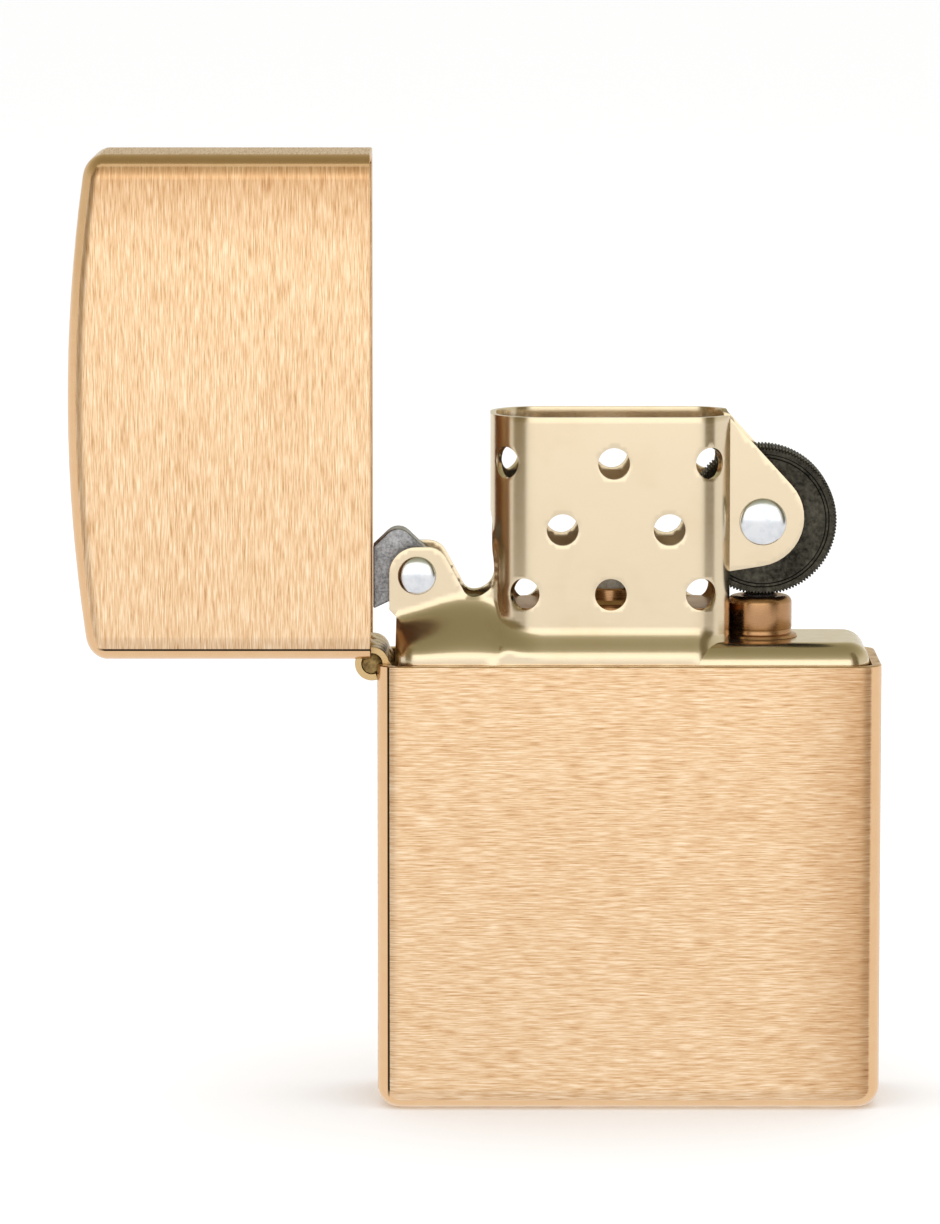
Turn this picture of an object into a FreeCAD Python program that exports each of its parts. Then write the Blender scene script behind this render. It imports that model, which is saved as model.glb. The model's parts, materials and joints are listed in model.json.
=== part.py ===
import FreeCAD, Part
import math
import os
import Sketcher

Vector = FreeCAD.Vector
document = FreeCAD.newDocument("pocket_lighter")

# Driving dimensions, millimetres and degrees. Origin: centre of the base's bottom face.
# +Z is up, the front faces -Y, the hinge is at -X and the flint wheel at +X.
DIMENSIONS = [
    ("case_width", 38.1), ("case_depth", 12.7), ("base_height", 33.9), ("wall", 0.7),
    ("corner_radius", 1.9), ("foot_radius", 1.6), ("seam_gap", 0.05),
    ("lid_height", 22.75), ("lid_crown", 1.5), ("lid_edge_radius", 1.5), ("lid_open_angle", 90),
    ("lid_edge_zone", 0.5),
    ("pivot_x", -19.45), ("knuckle_radius", 1.28), ("pin_radius", 0.75), ("pin_clearance", 0.04),
    ("leaf_sheet", 0.5), ("leaf_half_width", 4.35), ("hinge_half_width", 4.45), ("knuckle_gap", 0.06),
    ("base_leaf_drop", 7.0), ("lid_leaf_rise", 3.2), ("notch_half_width", 4.62), ("notch_drop", 1.42),
    ("finger_lap", 0.3), ("pin_end_round", 0.12),
    ("sheet", 0.45), ("tank_left", -17.76), ("tank_right", 18.2), ("tank_depth", 11.1),
    ("tank_corner", 1.9), ("tank_foot", 1.65), ("tank_joint", 33.2), ("shoulder_top", 35.5),
    ("shoulder_edge", 1.6), ("seat_lap", 0.4), ("cavity_inset", 0.72),
    ("slope_shift", 0.7), ("slope_trim", 0.9), ("slope_inset", 0.75), ("slope_foot", 0.5),
    ("slope_rise", 2.5),
    ("chimney_left", -10.5), ("chimney_half_depth", 4.85), ("chimney_top", 52.6),
    ("left_corner", 4.0), ("right_corner", 3.2), ("right_centre", 4.6), ("right_turn", 70),
    ("ear_half_gap", 2.3), ("mouth_reach", 1.0), ("gap_lap", 4.0),
    ("arch_inset", 0.6), ("arch_radius", 4.0), ("arch_spring", 2.0), ("arch_crown", 0.3),
    ("vent_radius", 1.2), ("vent_reach", 1.0),
    ("vent_top_z", 49.1), ("vent_top_left", -9.35), ("vent_top_centre", -1.2), ("vent_top_right", 6.1),
    ("vent_middle_z", 44.1), ("vent_middle_left", -5.06), ("vent_middle_right", 3.0),
    ("vent_bottom_z", 39.2), ("vent_bottom_left", -7.97), ("vent_bottom_centre", -1.42),
    ("vent_bottom_right", 5.42),
    ("cam_x", -16.05), ("cam_z", 40.4), ("cam_half_width", 1.2), ("cam_rivet_radius", 0.8),
    ("cam_head_radius", 1.45), ("cam_fit", 0.04), ("cam_boss", 1.95),
    ("cam_nose_x", 3.33), ("cam_nose_top", 2.05), ("cam_nose_foot", 2.7),
    ("cam_heel_x", 2.1), ("cam_heel_z", 2.12), ("cam_boss_x", 0.35), ("cam_boss_z", 1.92),
    ("cam_back_x", 1.6), ("cam_back_z", 1.12), ("cam_crest_x", 0.26), ("cam_crest_z", 2.2),
    ("cam_lobe_x", 0.85), ("cam_lobe_z", 3.3), ("cam_lobe_round", 0.9),
    ("cam_brow_x", 2.0), ("cam_brow_z", 3.34),
    ("cam_ear_lap", 0.04), ("cam_ear_root", 1.3), ("cam_ear_left", 2.1), ("cam_ear_right", 2.05),
    ("cam_ear_rise", 0.9), ("cam_ear_round", 2.2), ("cam_ear_foot", 0.7), ("cam_ear_step", 0.2),
    ("valley_x", 0.65), ("valley_z", 1.0), ("valley_round", 2.0), ("valley_foot_x", 2.25),
    ("valley_foot_z", 1.25),
    ("wheel_x", 10.1), ("wheel_z", 44.5), ("wheel_radius", 5.65), ("wheel_half_width", 2.1),
    ("wheel_rivet_radius", 0.95), ("wheel_head_radius", 1.78), ("wheel_fit", 0.05),
    ("wheel_chamfer", 0.22), ("head_height", 0.5), ("head_crown", 0.72),
    ("wheel_ear_root", 2.6), ("wheel_ear_land", 0.5), ("wheel_ear_back", 2.0),
    ("wheel_ear_rise", 3.0), ("wheel_ear_round", 3.6), ("wheel_ear_under", 0.3),
    ("wheel_ear_drop", 3.2), ("wheel_ear_foot", 3.65),
    ("tube_x", 10.0), ("tube_radius", 1.75), ("tube_bore", 1.32), ("collar_radius", 2.44),
    ("collar_top", 38.65), ("collar_round", 0.45), ("tube_foot", 2.6), ("tube_seat", 0.05),
    ("flint_round", 0.15), ("tip_fit", 0.05), ("stem_fit", 0.1), ("stem_length", 2.5),
    ("spring_fit", 0.01),
    ("flint_radius", 1.22), ("flint_top", 38.8), ("flint_length", 4.5), ("tip_length", 1.3),
    ("spring_radius", 0.9), ("spring_wire", 0.16), ("spring_pitch", 1.0), ("spring_foot", 8.6),
    ("screw_head_radius", 2.3), ("screw_head_top", 2.6), ("screw_head_foot", 1.3),
    ("screw_shank_radius", 1.27), ("screw_shank_top", 8.6), ("screw_slot", 0.6),
    ("screw_slot_depth", 0.7), ("screw_head_round", 0.2),
    ("wick_x", -1.5), ("wick_radius", 1.5), ("wick_foot", 6.0), ("wick_top", 45.5),
    ("wick_round", 0.3), ("floor_top", 38.1), ("floor_sheet", 0.5), ("floor_fit", 0.02),
    ("sleeve_height", 1.2),
    ("pad_foot", 1.75), ("pad_top", 3.5), ("pad_fit", 0.12),
    ("cotton_foot", 3.6), ("cotton_top", 34.6), ("cotton_gap", 0.4), ("cotton_rounding", 2.0),
    ("cotton_wall_gap", 0.25), ("cotton_tube_gap", 0.35), ("spring_strip", 0.3), ("strip_lift", 0.01),
    ("strip_right", 0.6), ("strip_bend_x", 1.4), ("strip_bend", 0.7), ("strip_outer_bend", 1.0),
    ("strip_rise_x", 0.4), ("strip_tip_inner", 0.55), ("strip_tip_outer", 0.25),
    ("strip_tip_high", 2.2), ("strip_tip_low", 2.15), ("strip_rivet_x", 1.8),
    ("strip_rivet_radius", 0.5), ("strip_head_radius", 0.85), ("strip_shank_top", 0.4),
    ("strip_head_top", 0.65),
]

KNUCKLES = 5
TINY = 1e-4
VENTS = [
    ("vent_top_left", "vent_top_z"), ("vent_top_centre", "vent_top_z"), ("vent_top_right", "vent_top_z"),
    ("vent_middle_left", "vent_middle_z"), ("vent_middle_right", "vent_middle_z"),
    ("vent_bottom_left", "vent_bottom_z"), ("vent_bottom_centre", "vent_bottom_z"),
    ("vent_bottom_right", "vent_bottom_z"),
]


def write_sheet():
    """Put every driving dimension in its own named cell."""
    sheet = document.addObject("Spreadsheet::Sheet", "dims")
    for row, (alias, value) in enumerate(DIMENSIONS, start=1):
        sheet.set("A%d" % row, alias)
        sheet.set("B%d" % row, str(value))
        sheet.setAlias("B%d" % row, alias)
    document.recompute()
    return sheet


dims = write_sheet()


def size(expression):
    """Value of an expression written with the sheet's names."""
    return float(dims.evalExpression(str(expression)))


def bind(thing, prop, expression):
    """Tie one property to an expression; the sheet's names get their sheet prefix."""
    text = str(expression)
    for alias, _ in sorted(DIMENSIONS, key=lambda pair: -len(pair[0])):
        pieces = text.split(alias)
        joined = pieces[0]
        for piece in pieces[1:]:
            inside = joined and (joined[-1].isalnum() or joined[-1] in "_.")
            inside = inside or (piece and (piece[0].isalnum() or piece[0] == "_"))
            joined += (alias if inside else "dims." + alias) + piece
        text = joined
    thing.setExpression(prop, text)


def new_body(label):
    """Empty body with its own label."""
    body = document.addObject("PartDesign::Body", label)
    body.Label = label
    return body


def origin_plane(body, role):
    """One of the body's own origin planes."""
    return [item for item in body.Origin.OriginFeatures if item.Role == role][0]


def new_sketch(body, name, role, offset="0"):
    """Sketch on an origin plane of its body, moved along the plane's normal."""
    sketch = body.newObject("Sketcher::SketchObject", name)
    sketch.AttachmentSupport = [(origin_plane(body, role), "")]
    sketch.MapMode = "FlatFace"
    bind(sketch, ".AttachmentOffset.Base.z", offset)
    return sketch


def fix_point(sketch, geometry, end, across, up):
    """Hold one point of a sketch at two expressions."""
    for kind, expression in (("DistanceX", across), ("DistanceY", up)):
        rule = Sketcher.Constraint(kind, -1, 1, geometry, end, size(expression))
        index = sketch.addConstraint(rule)
        bind(sketch, "Constraints[%d]" % index, expression)


def arc_between(first, last, radius, side):
    """Minor arc from first to last; side +1 puts its centre on the left of the chord."""
    chord = last - first
    normal = Vector(-chord.y, chord.x, 0).normalize()
    reach = math.sqrt(max(radius ** 2 - chord.Length ** 2 / 4, 0))
    centre = (first + last) * 0.5 + normal * reach * side
    start, stop = (first, last) if side > 0 else (last, first)
    angles = [math.atan2(point.y - centre.y, point.x - centre.x) for point in (start, stop)]
    circle = Part.Circle(centre, Vector(0, 0, 1), radius)
    return Part.ArcOfCircle(circle, angles[0], angles[1])


def draw_outline(sketch, corners):
    """Closed outline. A corner is (across, up) or (across, up, arc radius, arc side)."""
    points = [Vector(size(corner[0]), size(corner[1]), 0) for corner in corners]
    ends = []
    for index, corner in enumerate(corners):
        here = points[index]
        there = points[(index + 1) % len(corners)]
        if len(corner) == 2:
            geometry = sketch.addGeometry(Part.LineSegment(here, there), False)
            ends.append((geometry, 1, 2))
            continue
        radius, side = corner[2], corner[3]
        geometry = sketch.addGeometry(arc_between(here, there, size(radius), side), False)
        rule = sketch.addConstraint(Sketcher.Constraint("Radius", geometry, size(radius)))
        bind(sketch, "Constraints[%d]" % rule, radius)
        ends.append((geometry, 1, 2) if side > 0 else (geometry, 2, 1))
    for index, corner in enumerate(corners):
        before = ends[index - 1]
        after = ends[index]
        sketch.addConstraint(Sketcher.Constraint("Coincident", before[0], before[2], after[0], after[1]))
        fix_point(sketch, after[0], after[1], corner[0], corner[1])


def draw_rectangle(sketch, left, right, low, high):
    """Rectangle between four expressions."""
    draw_outline(sketch, [(left, low), (right, low), (right, high), (left, high)])


def draw_rounded_rectangle(sketch, left, right, low, high, radius):
    """Rectangle between four expressions with arcs of one radius at its corners."""
    in_left = "%s + %s" % (left, radius)
    in_right = "%s - %s" % (right, radius)
    in_low = "%s + %s" % (low, radius)
    in_high = "%s - %s" % (high, radius)
    draw_outline(sketch, [
        (in_left, low),
        (in_right, low, radius, 1),
        (right, in_low),
        (right, in_high, radius, 1),
        (in_right, high),
        (in_left, high, radius, 1),
        (left, in_high),
        (left, in_low, radius, 1),
    ])


def draw_circle(sketch, across, up, radius):
    """Circle with a bound centre and radius."""
    centre = Vector(size(across), size(up), 0)
    geometry = sketch.addGeometry(Part.Circle(centre, Vector(0, 0, 1), size(radius)), False)
    rule = sketch.addConstraint(Sketcher.Constraint("Radius", geometry, size(radius)))
    bind(sketch, "Constraints[%d]" % rule, radius)
    fix_point(sketch, geometry, 3, across, up)


def extrude(body, kind, sketch, length, side="One side", backwards=False):
    """Pad or Pocket of a sketch by a bound length."""
    feature = body.newObject("PartDesign::" + kind, sketch.Name + "_" + kind.lower())
    feature.Profile = sketch
    feature.SideType = side
    feature.Reversed = backwards
    bind(feature, "Length", length)
    document.recompute()
    return feature


def round_edges(body, feature, name, radius, chosen):
    """Fillet the edges of a feature that the test picks."""
    edges = feature.Shape.Edges
    names = ["Edge%d" % number for number, edge in enumerate(edges, start=1) if chosen(edge)]
    fillet = body.newObject("PartDesign::Fillet", name)
    fillet.Base = (feature, names)
    bind(fillet, "Radius", radius)
    document.recompute()
    return fillet


def is_upright(edge):
    """True for a straight edge that runs along Z."""
    ends = [vertex.Point for vertex in edge.Vertexes]
    return len(ends) == 2 and math.hypot(ends[0].x - ends[1].x, ends[0].y - ends[1].y) < TINY


def lies_at(height):
    """Test for an edge that lies in the level plane at this height."""
    return lambda edge: (
        abs(edge.BoundBox.ZMin - height) < TINY and abs(edge.BoundBox.ZMax - height) < TINY
    )


def rises_above(height):
    """Test for an edge that is wholly above this height."""
    return lambda edge: edge.BoundBox.ZMin > height


def cavity_edge(test):
    """Narrow a test to the edges of the case's or lid's cavity."""
    half_depth = size("case_depth / 2 - wall") + TINY
    half_width = size("case_width / 2 - wall") + TINY
    return lambda edge: (
        test(edge)
        and edge.BoundBox.YMax < half_depth
        and edge.BoundBox.YMin > -half_depth
        and edge.BoundBox.XMax < half_width
        and edge.BoundBox.XMin > -half_width
    )


def build_case_bottom():
    """Deep-drawn base: an open box with a notch for the hinge in its left wall."""
    body = new_body("case_bottom")
    outside = new_sketch(body, "base_outside", "XY_Plane")
    draw_rounded_rectangle(
        outside, "-case_width / 2", "case_width / 2", "-case_depth / 2", "case_depth / 2", "corner_radius"
    )
    block = extrude(body, "Pad", outside, "base_height")
    round_edges(body, block, "base_foot_edge", "foot_radius", lies_at(0))
    inside = new_sketch(body, "base_inside", "XY_Plane", "wall")
    draw_rounded_rectangle(
        inside,
        "-case_width / 2 + wall", "case_width / 2 - wall",
        "-case_depth / 2 + wall", "case_depth / 2 - wall", "(corner_radius - wall)",
    )
    cavity = extrude(body, "Pocket", inside, "base_height", backwards=True)
    round_edges(
        body, cavity, "base_cavity_floor", "foot_radius - wall", cavity_edge(lies_at(size("wall")))
    )
    notch = new_sketch(body, "base_notch", "XZ_Plane")
    draw_rectangle(
        notch,
        "-case_width / 2 - wall", "-case_width / 2 + 2 * wall",
        "base_height - notch_drop", "base_height + wall",
    )
    extrude(body, "Pocket", notch, "2 * notch_half_width", "Symmetric")
    return body


def crown_radius(inset):
    """Radius of the lid's crowned top, for the outside or for the cavity."""
    half = "(case_width / 2 - %s)" % inset
    return "(%s * %s + lid_crown * lid_crown) / (2 * lid_crown)" % (half, half)


def draw_lid_profile(sketch, inset, top_drop):
    """Side profile of the closed lid: straight sides and an arched top."""
    low = "base_height + seam_gap"
    corner = "base_height + seam_gap + lid_height - lid_crown - %s" % top_drop
    side = "case_width / 2 - %s" % inset
    draw_outline(sketch, [
        ("-(%s)" % side, low),
        (side, low),
        (side, corner, crown_radius(inset), 1),
        ("-(%s)" % side, corner),
    ])


def build_lid_shell():
    """Deep-drawn lid, drawn closed and then swung open about the hinge."""
    body = new_body("lid_shell")
    outside = new_sketch(body, "lid_outside", "XZ_Plane")
    draw_lid_profile(outside, "0", "0")
    block = extrude(body, "Pad", outside, "case_depth", "Symmetric")
    block = round_edges(body, block, "lid_corners", "corner_radius", is_upright)
    shoulder = size("base_height + seam_gap + lid_height - lid_crown - lid_edge_zone")
    round_edges(body, block, "lid_top_edge", "lid_edge_radius", rises_above(shoulder))
    inside = new_sketch(body, "lid_inside", "XZ_Plane")
    draw_lid_profile(inside, "wall", "wall")
    cavity = extrude(body, "Pocket", inside, "case_depth - 2 * wall", "Symmetric")
    cavity = round_edges(
        body, cavity, "lid_cavity_corners", "corner_radius - wall", cavity_edge(is_upright)
    )
    round_edges(
        body, cavity, "lid_cavity_top", "lid_edge_radius - wall",
        cavity_edge(rises_above(shoulder - size("wall"))),
    )
    notch = new_sketch(body, "lid_notch", "XZ_Plane")
    draw_rectangle(
        notch,
        "-case_width / 2 - wall", "-case_width / 2 + 2 * wall",
        "base_height - wall", "base_height + notch_drop",
    )
    extrude(body, "Pocket", notch, "2 * notch_half_width", "Symmetric")
    return body


def build_hinge_leaf(label, knuckles, direction, reach, bore):
    """Hinge leaf inside a left wall, with its knuckles curled round the pin."""
    body = new_body(label)
    inner = "-case_width / 2 + wall + leaf_sheet"
    outer = "-case_width / 2 + wall"
    plate = new_sketch(body, label + "_plate", "XZ_Plane")
    draw_rectangle(
        plate, outer, inner,
        "base_height + %d * notch_drop" % direction, "base_height + %d * %s" % (direction, reach),
    )
    extrude(body, "Pad", plate, "2 * leaf_half_width", "Symmetric")
    pitch = "2 * hinge_half_width / %d" % KNUCKLES
    last = KNUCKLES - 1
    for number in knuckles:
        middle = "(%d * %s)" % (last // 2 - number, pitch)
        finger = new_sketch(body, "%s_finger_%d" % (label, number), "XZ_Plane", middle)
        draw_rectangle(
            finger, outer, inner,
            "base_height - %d * finger_lap" % direction, "base_height + %d * notch_drop" % direction,
        )
        length = pitch + " - knuckle_gap"
        if number in (0, last):
            length += " - 2 * (hinge_half_width - leaf_half_width)"
        extrude(body, "Pad", finger, length, "Symmetric")
        curl = new_sketch(body, "%s_curl_%d" % (label, number), "XZ_Plane", middle)
        draw_circle(curl, "pivot_x", "base_height", "knuckle_radius")
        extrude(body, "Pad", curl, pitch + " - knuckle_gap", "Symmetric")
    hole = new_sketch(body, label + "_bore", "XZ_Plane")
    draw_circle(hole, "pivot_x", "base_height", bore)
    extrude(body, "Pocket", hole, "4 * hinge_half_width", "Symmetric")
    return body


def lay_cylinder(name, radius, half_length, across, up):
    """Cylinder along Y, centred on the middle plane."""
    rod = document.addObject("Part::Cylinder", name)
    bind(rod, "Radius", radius)
    bind(rod, "Height", "2 * (%s)" % half_length)
    rod.Placement.Rotation = FreeCAD.Rotation(Vector(1, 0, 0), 90)
    bind(rod, ".Placement.Base.x", across)
    bind(rod, ".Placement.Base.y", half_length)
    bind(rod, ".Placement.Base.z", up)
    return rod


def stand_cylinder(name, radius, low, high, across):
    """Upright cylinder between two heights."""
    rod = document.addObject("Part::Cylinder", name)
    bind(rod, "Radius", radius)
    bind(rod, "Height", "(%s) - (%s)" % (high, low))
    bind(rod, ".Placement.Base.x", across)
    bind(rod, ".Placement.Base.z", low)
    return rod


def fuse(label, pieces):
    """Join pieces into one labelled solid."""
    joined = document.addObject("Part::MultiFuse", label)
    joined.Shapes = pieces
    joined.Refine = True
    joined.Label = label
    return joined


def cut(label, base, tool):
    """Take a tool out of a base."""
    result = document.addObject("Part::Cut", label)
    result.Base = base
    result.Tool = tool
    result.Label = label
    return result


def soften(label, base, radius, chosen):
    """Round the edges of a primitive that the test picks."""
    document.recompute()
    result = document.addObject("Part::Fillet", label)
    result.Base = base
    edges = enumerate(base.Shape.Edges, start=1)
    result.Edges = [(number, size(radius), size(radius)) for number, edge in edges if chosen(edge)]
    result.Label = label
    return result


def build_hinge_pin():
    """Hinge pin with softly rounded ends."""
    half = "hinge_half_width + pin_end_round"
    rod = lay_cylinder("hinge_pin_rod", "pin_radius", half, "pivot_x", "base_height")
    return soften("hinge_pin", rod, "pin_end_round", lambda edge: edge.Closed)


def build_rivet(label, shank, head, across, up):
    """Rivet through both ears with a low dome on each side."""
    face = "(ear_half_gap + sheet)"
    rod = lay_cylinder(label + "_shank", shank, face, across, up)
    pieces = [rod]
    for side in (-1, 1):
        dome = document.addObject("Part::Cone", "%s_head_%d" % (label, side + 1))
        bind(dome, "Radius1", head)
        bind(dome, "Radius2", head + " * head_crown")
        bind(dome, "Height", "head_height")
        dome.Placement.Rotation = FreeCAD.Rotation(Vector(1, 0, 0), -90 * side)
        bind(dome, ".Placement.Base.x", across)
        bind(dome, ".Placement.Base.y", "%d * %s" % (side, face))
        bind(dome, ".Placement.Base.z", up)
        pieces.append(dome)
    return fuse(label, pieces)


def chimney_outline(inset, mouth):
    """Plan of the windscreen: round left end, tighter right corners that stop at the ears."""
    half = "(chimney_half_depth - %s)" % inset
    left = "(chimney_left + %s)" % inset
    bend = "(left_corner - %s)" % inset
    turn = "(right_corner - %s)" % inset
    far = "(chimney_half_depth - right_corner)"
    end_x = "(right_centre + %s * sin(right_turn * 1deg))" % turn
    end_y = "(%s + %s * cos(right_turn * 1deg))" % (far, turn)
    flat = "(chimney_half_depth - left_corner)"
    start_x = "(chimney_left + left_corner)"
    corners = [
        (start_x, "-" + half),
        ("right_centre", "-" + half, turn, 1),
        (end_x, "-" + end_y),
    ]
    if mouth:
        far_x = end_x + " + mouth_reach"
        corners += [(far_x, "-" + end_y), (far_x, end_y)]
    corners += [
        (end_x, end_y, turn, 1),
        ("right_centre", half),
        (start_x, half, bend, 1),
        (left, flat),
        (left, "-" + flat, bend, 1),
    ]
    return corners


def punch_hole(body, name, across, height, side):
    """Round vent punched square to the windscreen's surface on one side."""
    across = size(across)
    start = size("chimney_left + left_corner")
    stop = size("right_centre")
    if across < start:
        centre, bend = start, size("left_corner")
    elif across > stop:
        centre, bend = stop, size("right_corner")
    else:
        centre, bend = across, size("right_corner")
    turn = math.degrees(math.asin((across - centre) / bend))
    depth = size("chimney_half_depth") - bend
    punch = body.newObject("PartDesign::SubtractiveCylinder", name)
    bind(punch, "Radius", "vent_radius")
    bind(punch, "Height", "right_corner + sheet")
    punch.AttachmentSupport = [(origin_plane(body, "XY_Plane"), "")]
    punch.MapMode = "FlatFace"
    level = FreeCAD.Rotation(Vector(1, 0, 0), 90 * side)
    aim = FreeCAD.Rotation(Vector(0, 0, 1), side * turn).multiply(level)
    inner = bend - size("vent_reach")
    radians = math.radians(turn)
    base = Vector(
        centre + inner * math.sin(radians), -side * (depth + inner * math.cos(radians)), size(height)
    )
    punch.AttachmentOffset = FreeCAD.Placement(base, aim)
    bind(punch, ".AttachmentOffset.Base.z", height)


def build_insert_top():
    """Pressed top of the insert: shoulder, perforated windscreen, wheel ears and cam ears."""
    body = new_body("insert_top")
    half = "(tank_depth / 2)"
    shoulder = new_sketch(body, "shoulder", "XY_Plane", "tank_joint")
    draw_rounded_rectangle(shoulder, "tank_left", "tank_right", "-" + half, half, "tank_corner")
    block = extrude(body, "Pad", shoulder, "shoulder_top - tank_joint")
    round_edges(body, block, "shoulder_edge_round", "shoulder_edge", lies_at(size("shoulder_top")))
    add_cam_slope(body, half)
    screen = new_sketch(body, "windscreen", "XY_Plane", "shoulder_top - seat_lap")
    draw_outline(screen, chimney_outline("0", False))
    extrude(body, "Pad", screen, "chimney_top - shoulder_top + seat_lap")
    cut_end_arch(body)
    add_wheel_ears(body)
    add_cam_ears(body)
    cam_gap = new_sketch(body, "cam_gap", "XZ_Plane")
    draw_rectangle(
        cam_gap, "cam_x - gap_lap", "chimney_left + cam_ear_root", "shoulder_top", "wheel_z - arch_crown"
    )
    extrude(body, "Pocket", cam_gap, "2 * ear_half_gap", "Symmetric")
    wheel_gap = new_sketch(body, "wheel_gap", "XZ_Plane")
    draw_rectangle(
        wheel_gap, "right_centre", "wheel_x + gap_lap", "shoulder_top", "chimney_top + mouth_reach"
    )
    extrude(body, "Pocket", wheel_gap, "2 * ear_half_gap", "Symmetric")
    hollow_insert_top(body, half)
    for side in (1, -1):
        for across, height in VENTS:
            punch_hole(body, "%s_%d" % (across, side + 1), across, height, side)
    drill_insert_top(body)
    return body


def add_cam_slope(body, half):
    """Shoulder that rises from the tank's edge to the cam ears."""
    slope = new_sketch(body, "cam_slope", "YZ_Plane", "(tank_left + chimney_left) / 2 + slope_shift")
    draw_outline(slope, [
        ("-" + half + " + slope_inset", "shoulder_top - slope_foot"),
        (half + " - slope_inset", "shoulder_top - slope_foot"),
        ("ear_half_gap + sheet", "shoulder_top + slope_rise"),
        ("-ear_half_gap - sheet", "shoulder_top + slope_rise"),
    ])
    extrude(body, "Pad", slope, "chimney_left - tank_left - slope_trim", "Symmetric")


def cut_end_arch(body):
    """Opening in the windscreen's left end for the cam."""
    arch = new_sketch(body, "end_arch", "XZ_Plane")
    draw_outline(arch, [
        ("chimney_left - mouth_reach", "shoulder_top"),
        ("chimney_left + arch_inset", "shoulder_top"),
        ("chimney_left + arch_inset", "wheel_z - arch_spring", "arch_radius", 1),
        ("chimney_left", "wheel_z - arch_crown"),
        ("chimney_left - mouth_reach", "wheel_z - arch_crown"),
    ])
    extrude(body, "Pocket", arch, "2 * (ear_half_gap + 2 * sheet)", "Symmetric")


def add_wheel_ears(body):
    """Flat ears that carry the flint wheel's rivet."""
    wheel_ear = new_sketch(body, "wheel_ear", "XZ_Plane")
    draw_outline(wheel_ear, [
        ("right_centre + wheel_ear_root", "chimney_top"),
        ("right_centre + wheel_ear_root + wheel_ear_land", "chimney_top"),
        ("wheel_x + wheel_ear_back", "wheel_z + wheel_ear_rise", "wheel_ear_round", -1),
        ("wheel_x + wheel_ear_under", "wheel_z - wheel_ear_drop"),
        ("right_centre + wheel_ear_root", "wheel_z - wheel_ear_foot"),
    ])
    extrude(body, "Pad", wheel_ear, "2 * (ear_half_gap + sheet)", "Symmetric")


def add_cam_ears(body):
    """Ears that carry the cam's rivet, with the valley beside the windscreen."""
    left = "tank_left + cam_ear_lap"
    right = "chimney_left + cam_ear_root"
    cam_ear = new_sketch(body, "cam_ear", "XZ_Plane")
    draw_outline(cam_ear, [
        (left, "shoulder_top - seat_lap"),
        (right, "shoulder_top - seat_lap"),
        (right, "cam_z + valley_z"),
        ("chimney_left + valley_x", "cam_z + valley_z", "valley_round", -1),
        ("chimney_left - valley_foot_x", "cam_z - valley_foot_z"),
        ("cam_x + cam_ear_right", "cam_z + cam_ear_rise", "cam_ear_round", 1),
        ("cam_x - cam_ear_left", "cam_z"),
        ("cam_x - cam_ear_left", "base_height + lid_leaf_rise + cam_ear_foot"),
        (left, "base_height + lid_leaf_rise + cam_ear_step"),
    ])
    extrude(body, "Pad", cam_ear, "2 * (ear_half_gap + sheet)", "Symmetric")


def hollow_insert_top(body, half):
    """Open the windscreen and the space under the shoulder."""
    inside = new_sketch(body, "windscreen_inside", "XY_Plane", "shoulder_top - 2 * sheet")
    draw_outline(inside, chimney_outline("sheet", True))
    extrude(body, "Pocket", inside, "chimney_top", backwards=True)
    tank = new_sketch(body, "shoulder_inside", "XY_Plane", "tank_joint")
    inset = "cavity_inset"
    draw_rounded_rectangle(
        tank, "tank_left + " + inset, "tank_right - " + inset,
        "-%s + %s" % (half, inset), "%s - %s" % (half, inset), "(tank_corner - %s)" % inset,
    )
    extrude(body, "Pocket", tank, "shoulder_top - sheet - tank_joint", backwards=True)


def drill_insert_top(body):
    """Rivet holes through the ears and the hole for the flint tube."""
    for name, across, up, radius in (
        ("cam_rivet_hole", "cam_x", "cam_z", "cam_rivet_radius"),
        ("wheel_rivet_hole", "wheel_x", "wheel_z", "wheel_rivet_radius"),
    ):
        hole = new_sketch(body, name, "XZ_Plane")
        draw_circle(hole, across, up, radius)
        extrude(body, "Pocket", hole, "4 * ear_half_gap", "Symmetric")
    tube_hole = new_sketch(body, "tube_hole", "XY_Plane", "tank_joint")
    draw_circle(tube_hole, "tube_x", "0", "tube_radius")
    extrude(body, "Pocket", tube_hole, "shoulder_top - tank_joint + sheet", backwards=True)


def build_fuel_tank():
    """Drawn can under the shoulder, open at the bottom."""
    body = new_body("fuel_tank")
    outside = new_sketch(body, "tank_outside", "XY_Plane", "tank_foot")
    half = "(tank_depth / 2)"
    draw_rounded_rectangle(outside, "tank_left", "tank_right", "-" + half, half, "tank_corner")
    extrude(body, "Pad", outside, "tank_joint - tank_foot")
    inside = new_sketch(body, "tank_inside", "XY_Plane", "tank_foot")
    draw_rounded_rectangle(
        inside, "tank_left + sheet", "tank_right - sheet",
        "-%s + sheet" % half, half + " - sheet", "(tank_corner - sheet)",
    )
    extrude(body, "Pocket", inside, "tank_joint", backwards=True)
    return body


def build_chimney_floor():
    """Plate that closes the windscreen's foot and holds the wick."""
    body = new_body("chimney_floor")
    plate = new_sketch(body, "floor_plate", "XY_Plane", "floor_top - floor_sheet")
    draw_outline(plate, chimney_outline("(sheet + floor_fit)", False))
    extrude(body, "Pad", plate, "floor_sheet")
    sleeve = new_sketch(body, "wick_sleeve", "XY_Plane", "floor_top")
    draw_circle(sleeve, "wick_x", "0", "wick_radius + sheet")
    extrude(body, "Pad", sleeve, "sleeve_height")
    bore = new_sketch(body, "wick_bore", "XY_Plane", "floor_top - 2 * floor_sheet")
    draw_circle(bore, "wick_x", "0", "wick_radius")
    extrude(body, "Pocket", bore, "4 * sleeve_height", backwards=True)
    return body


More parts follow.
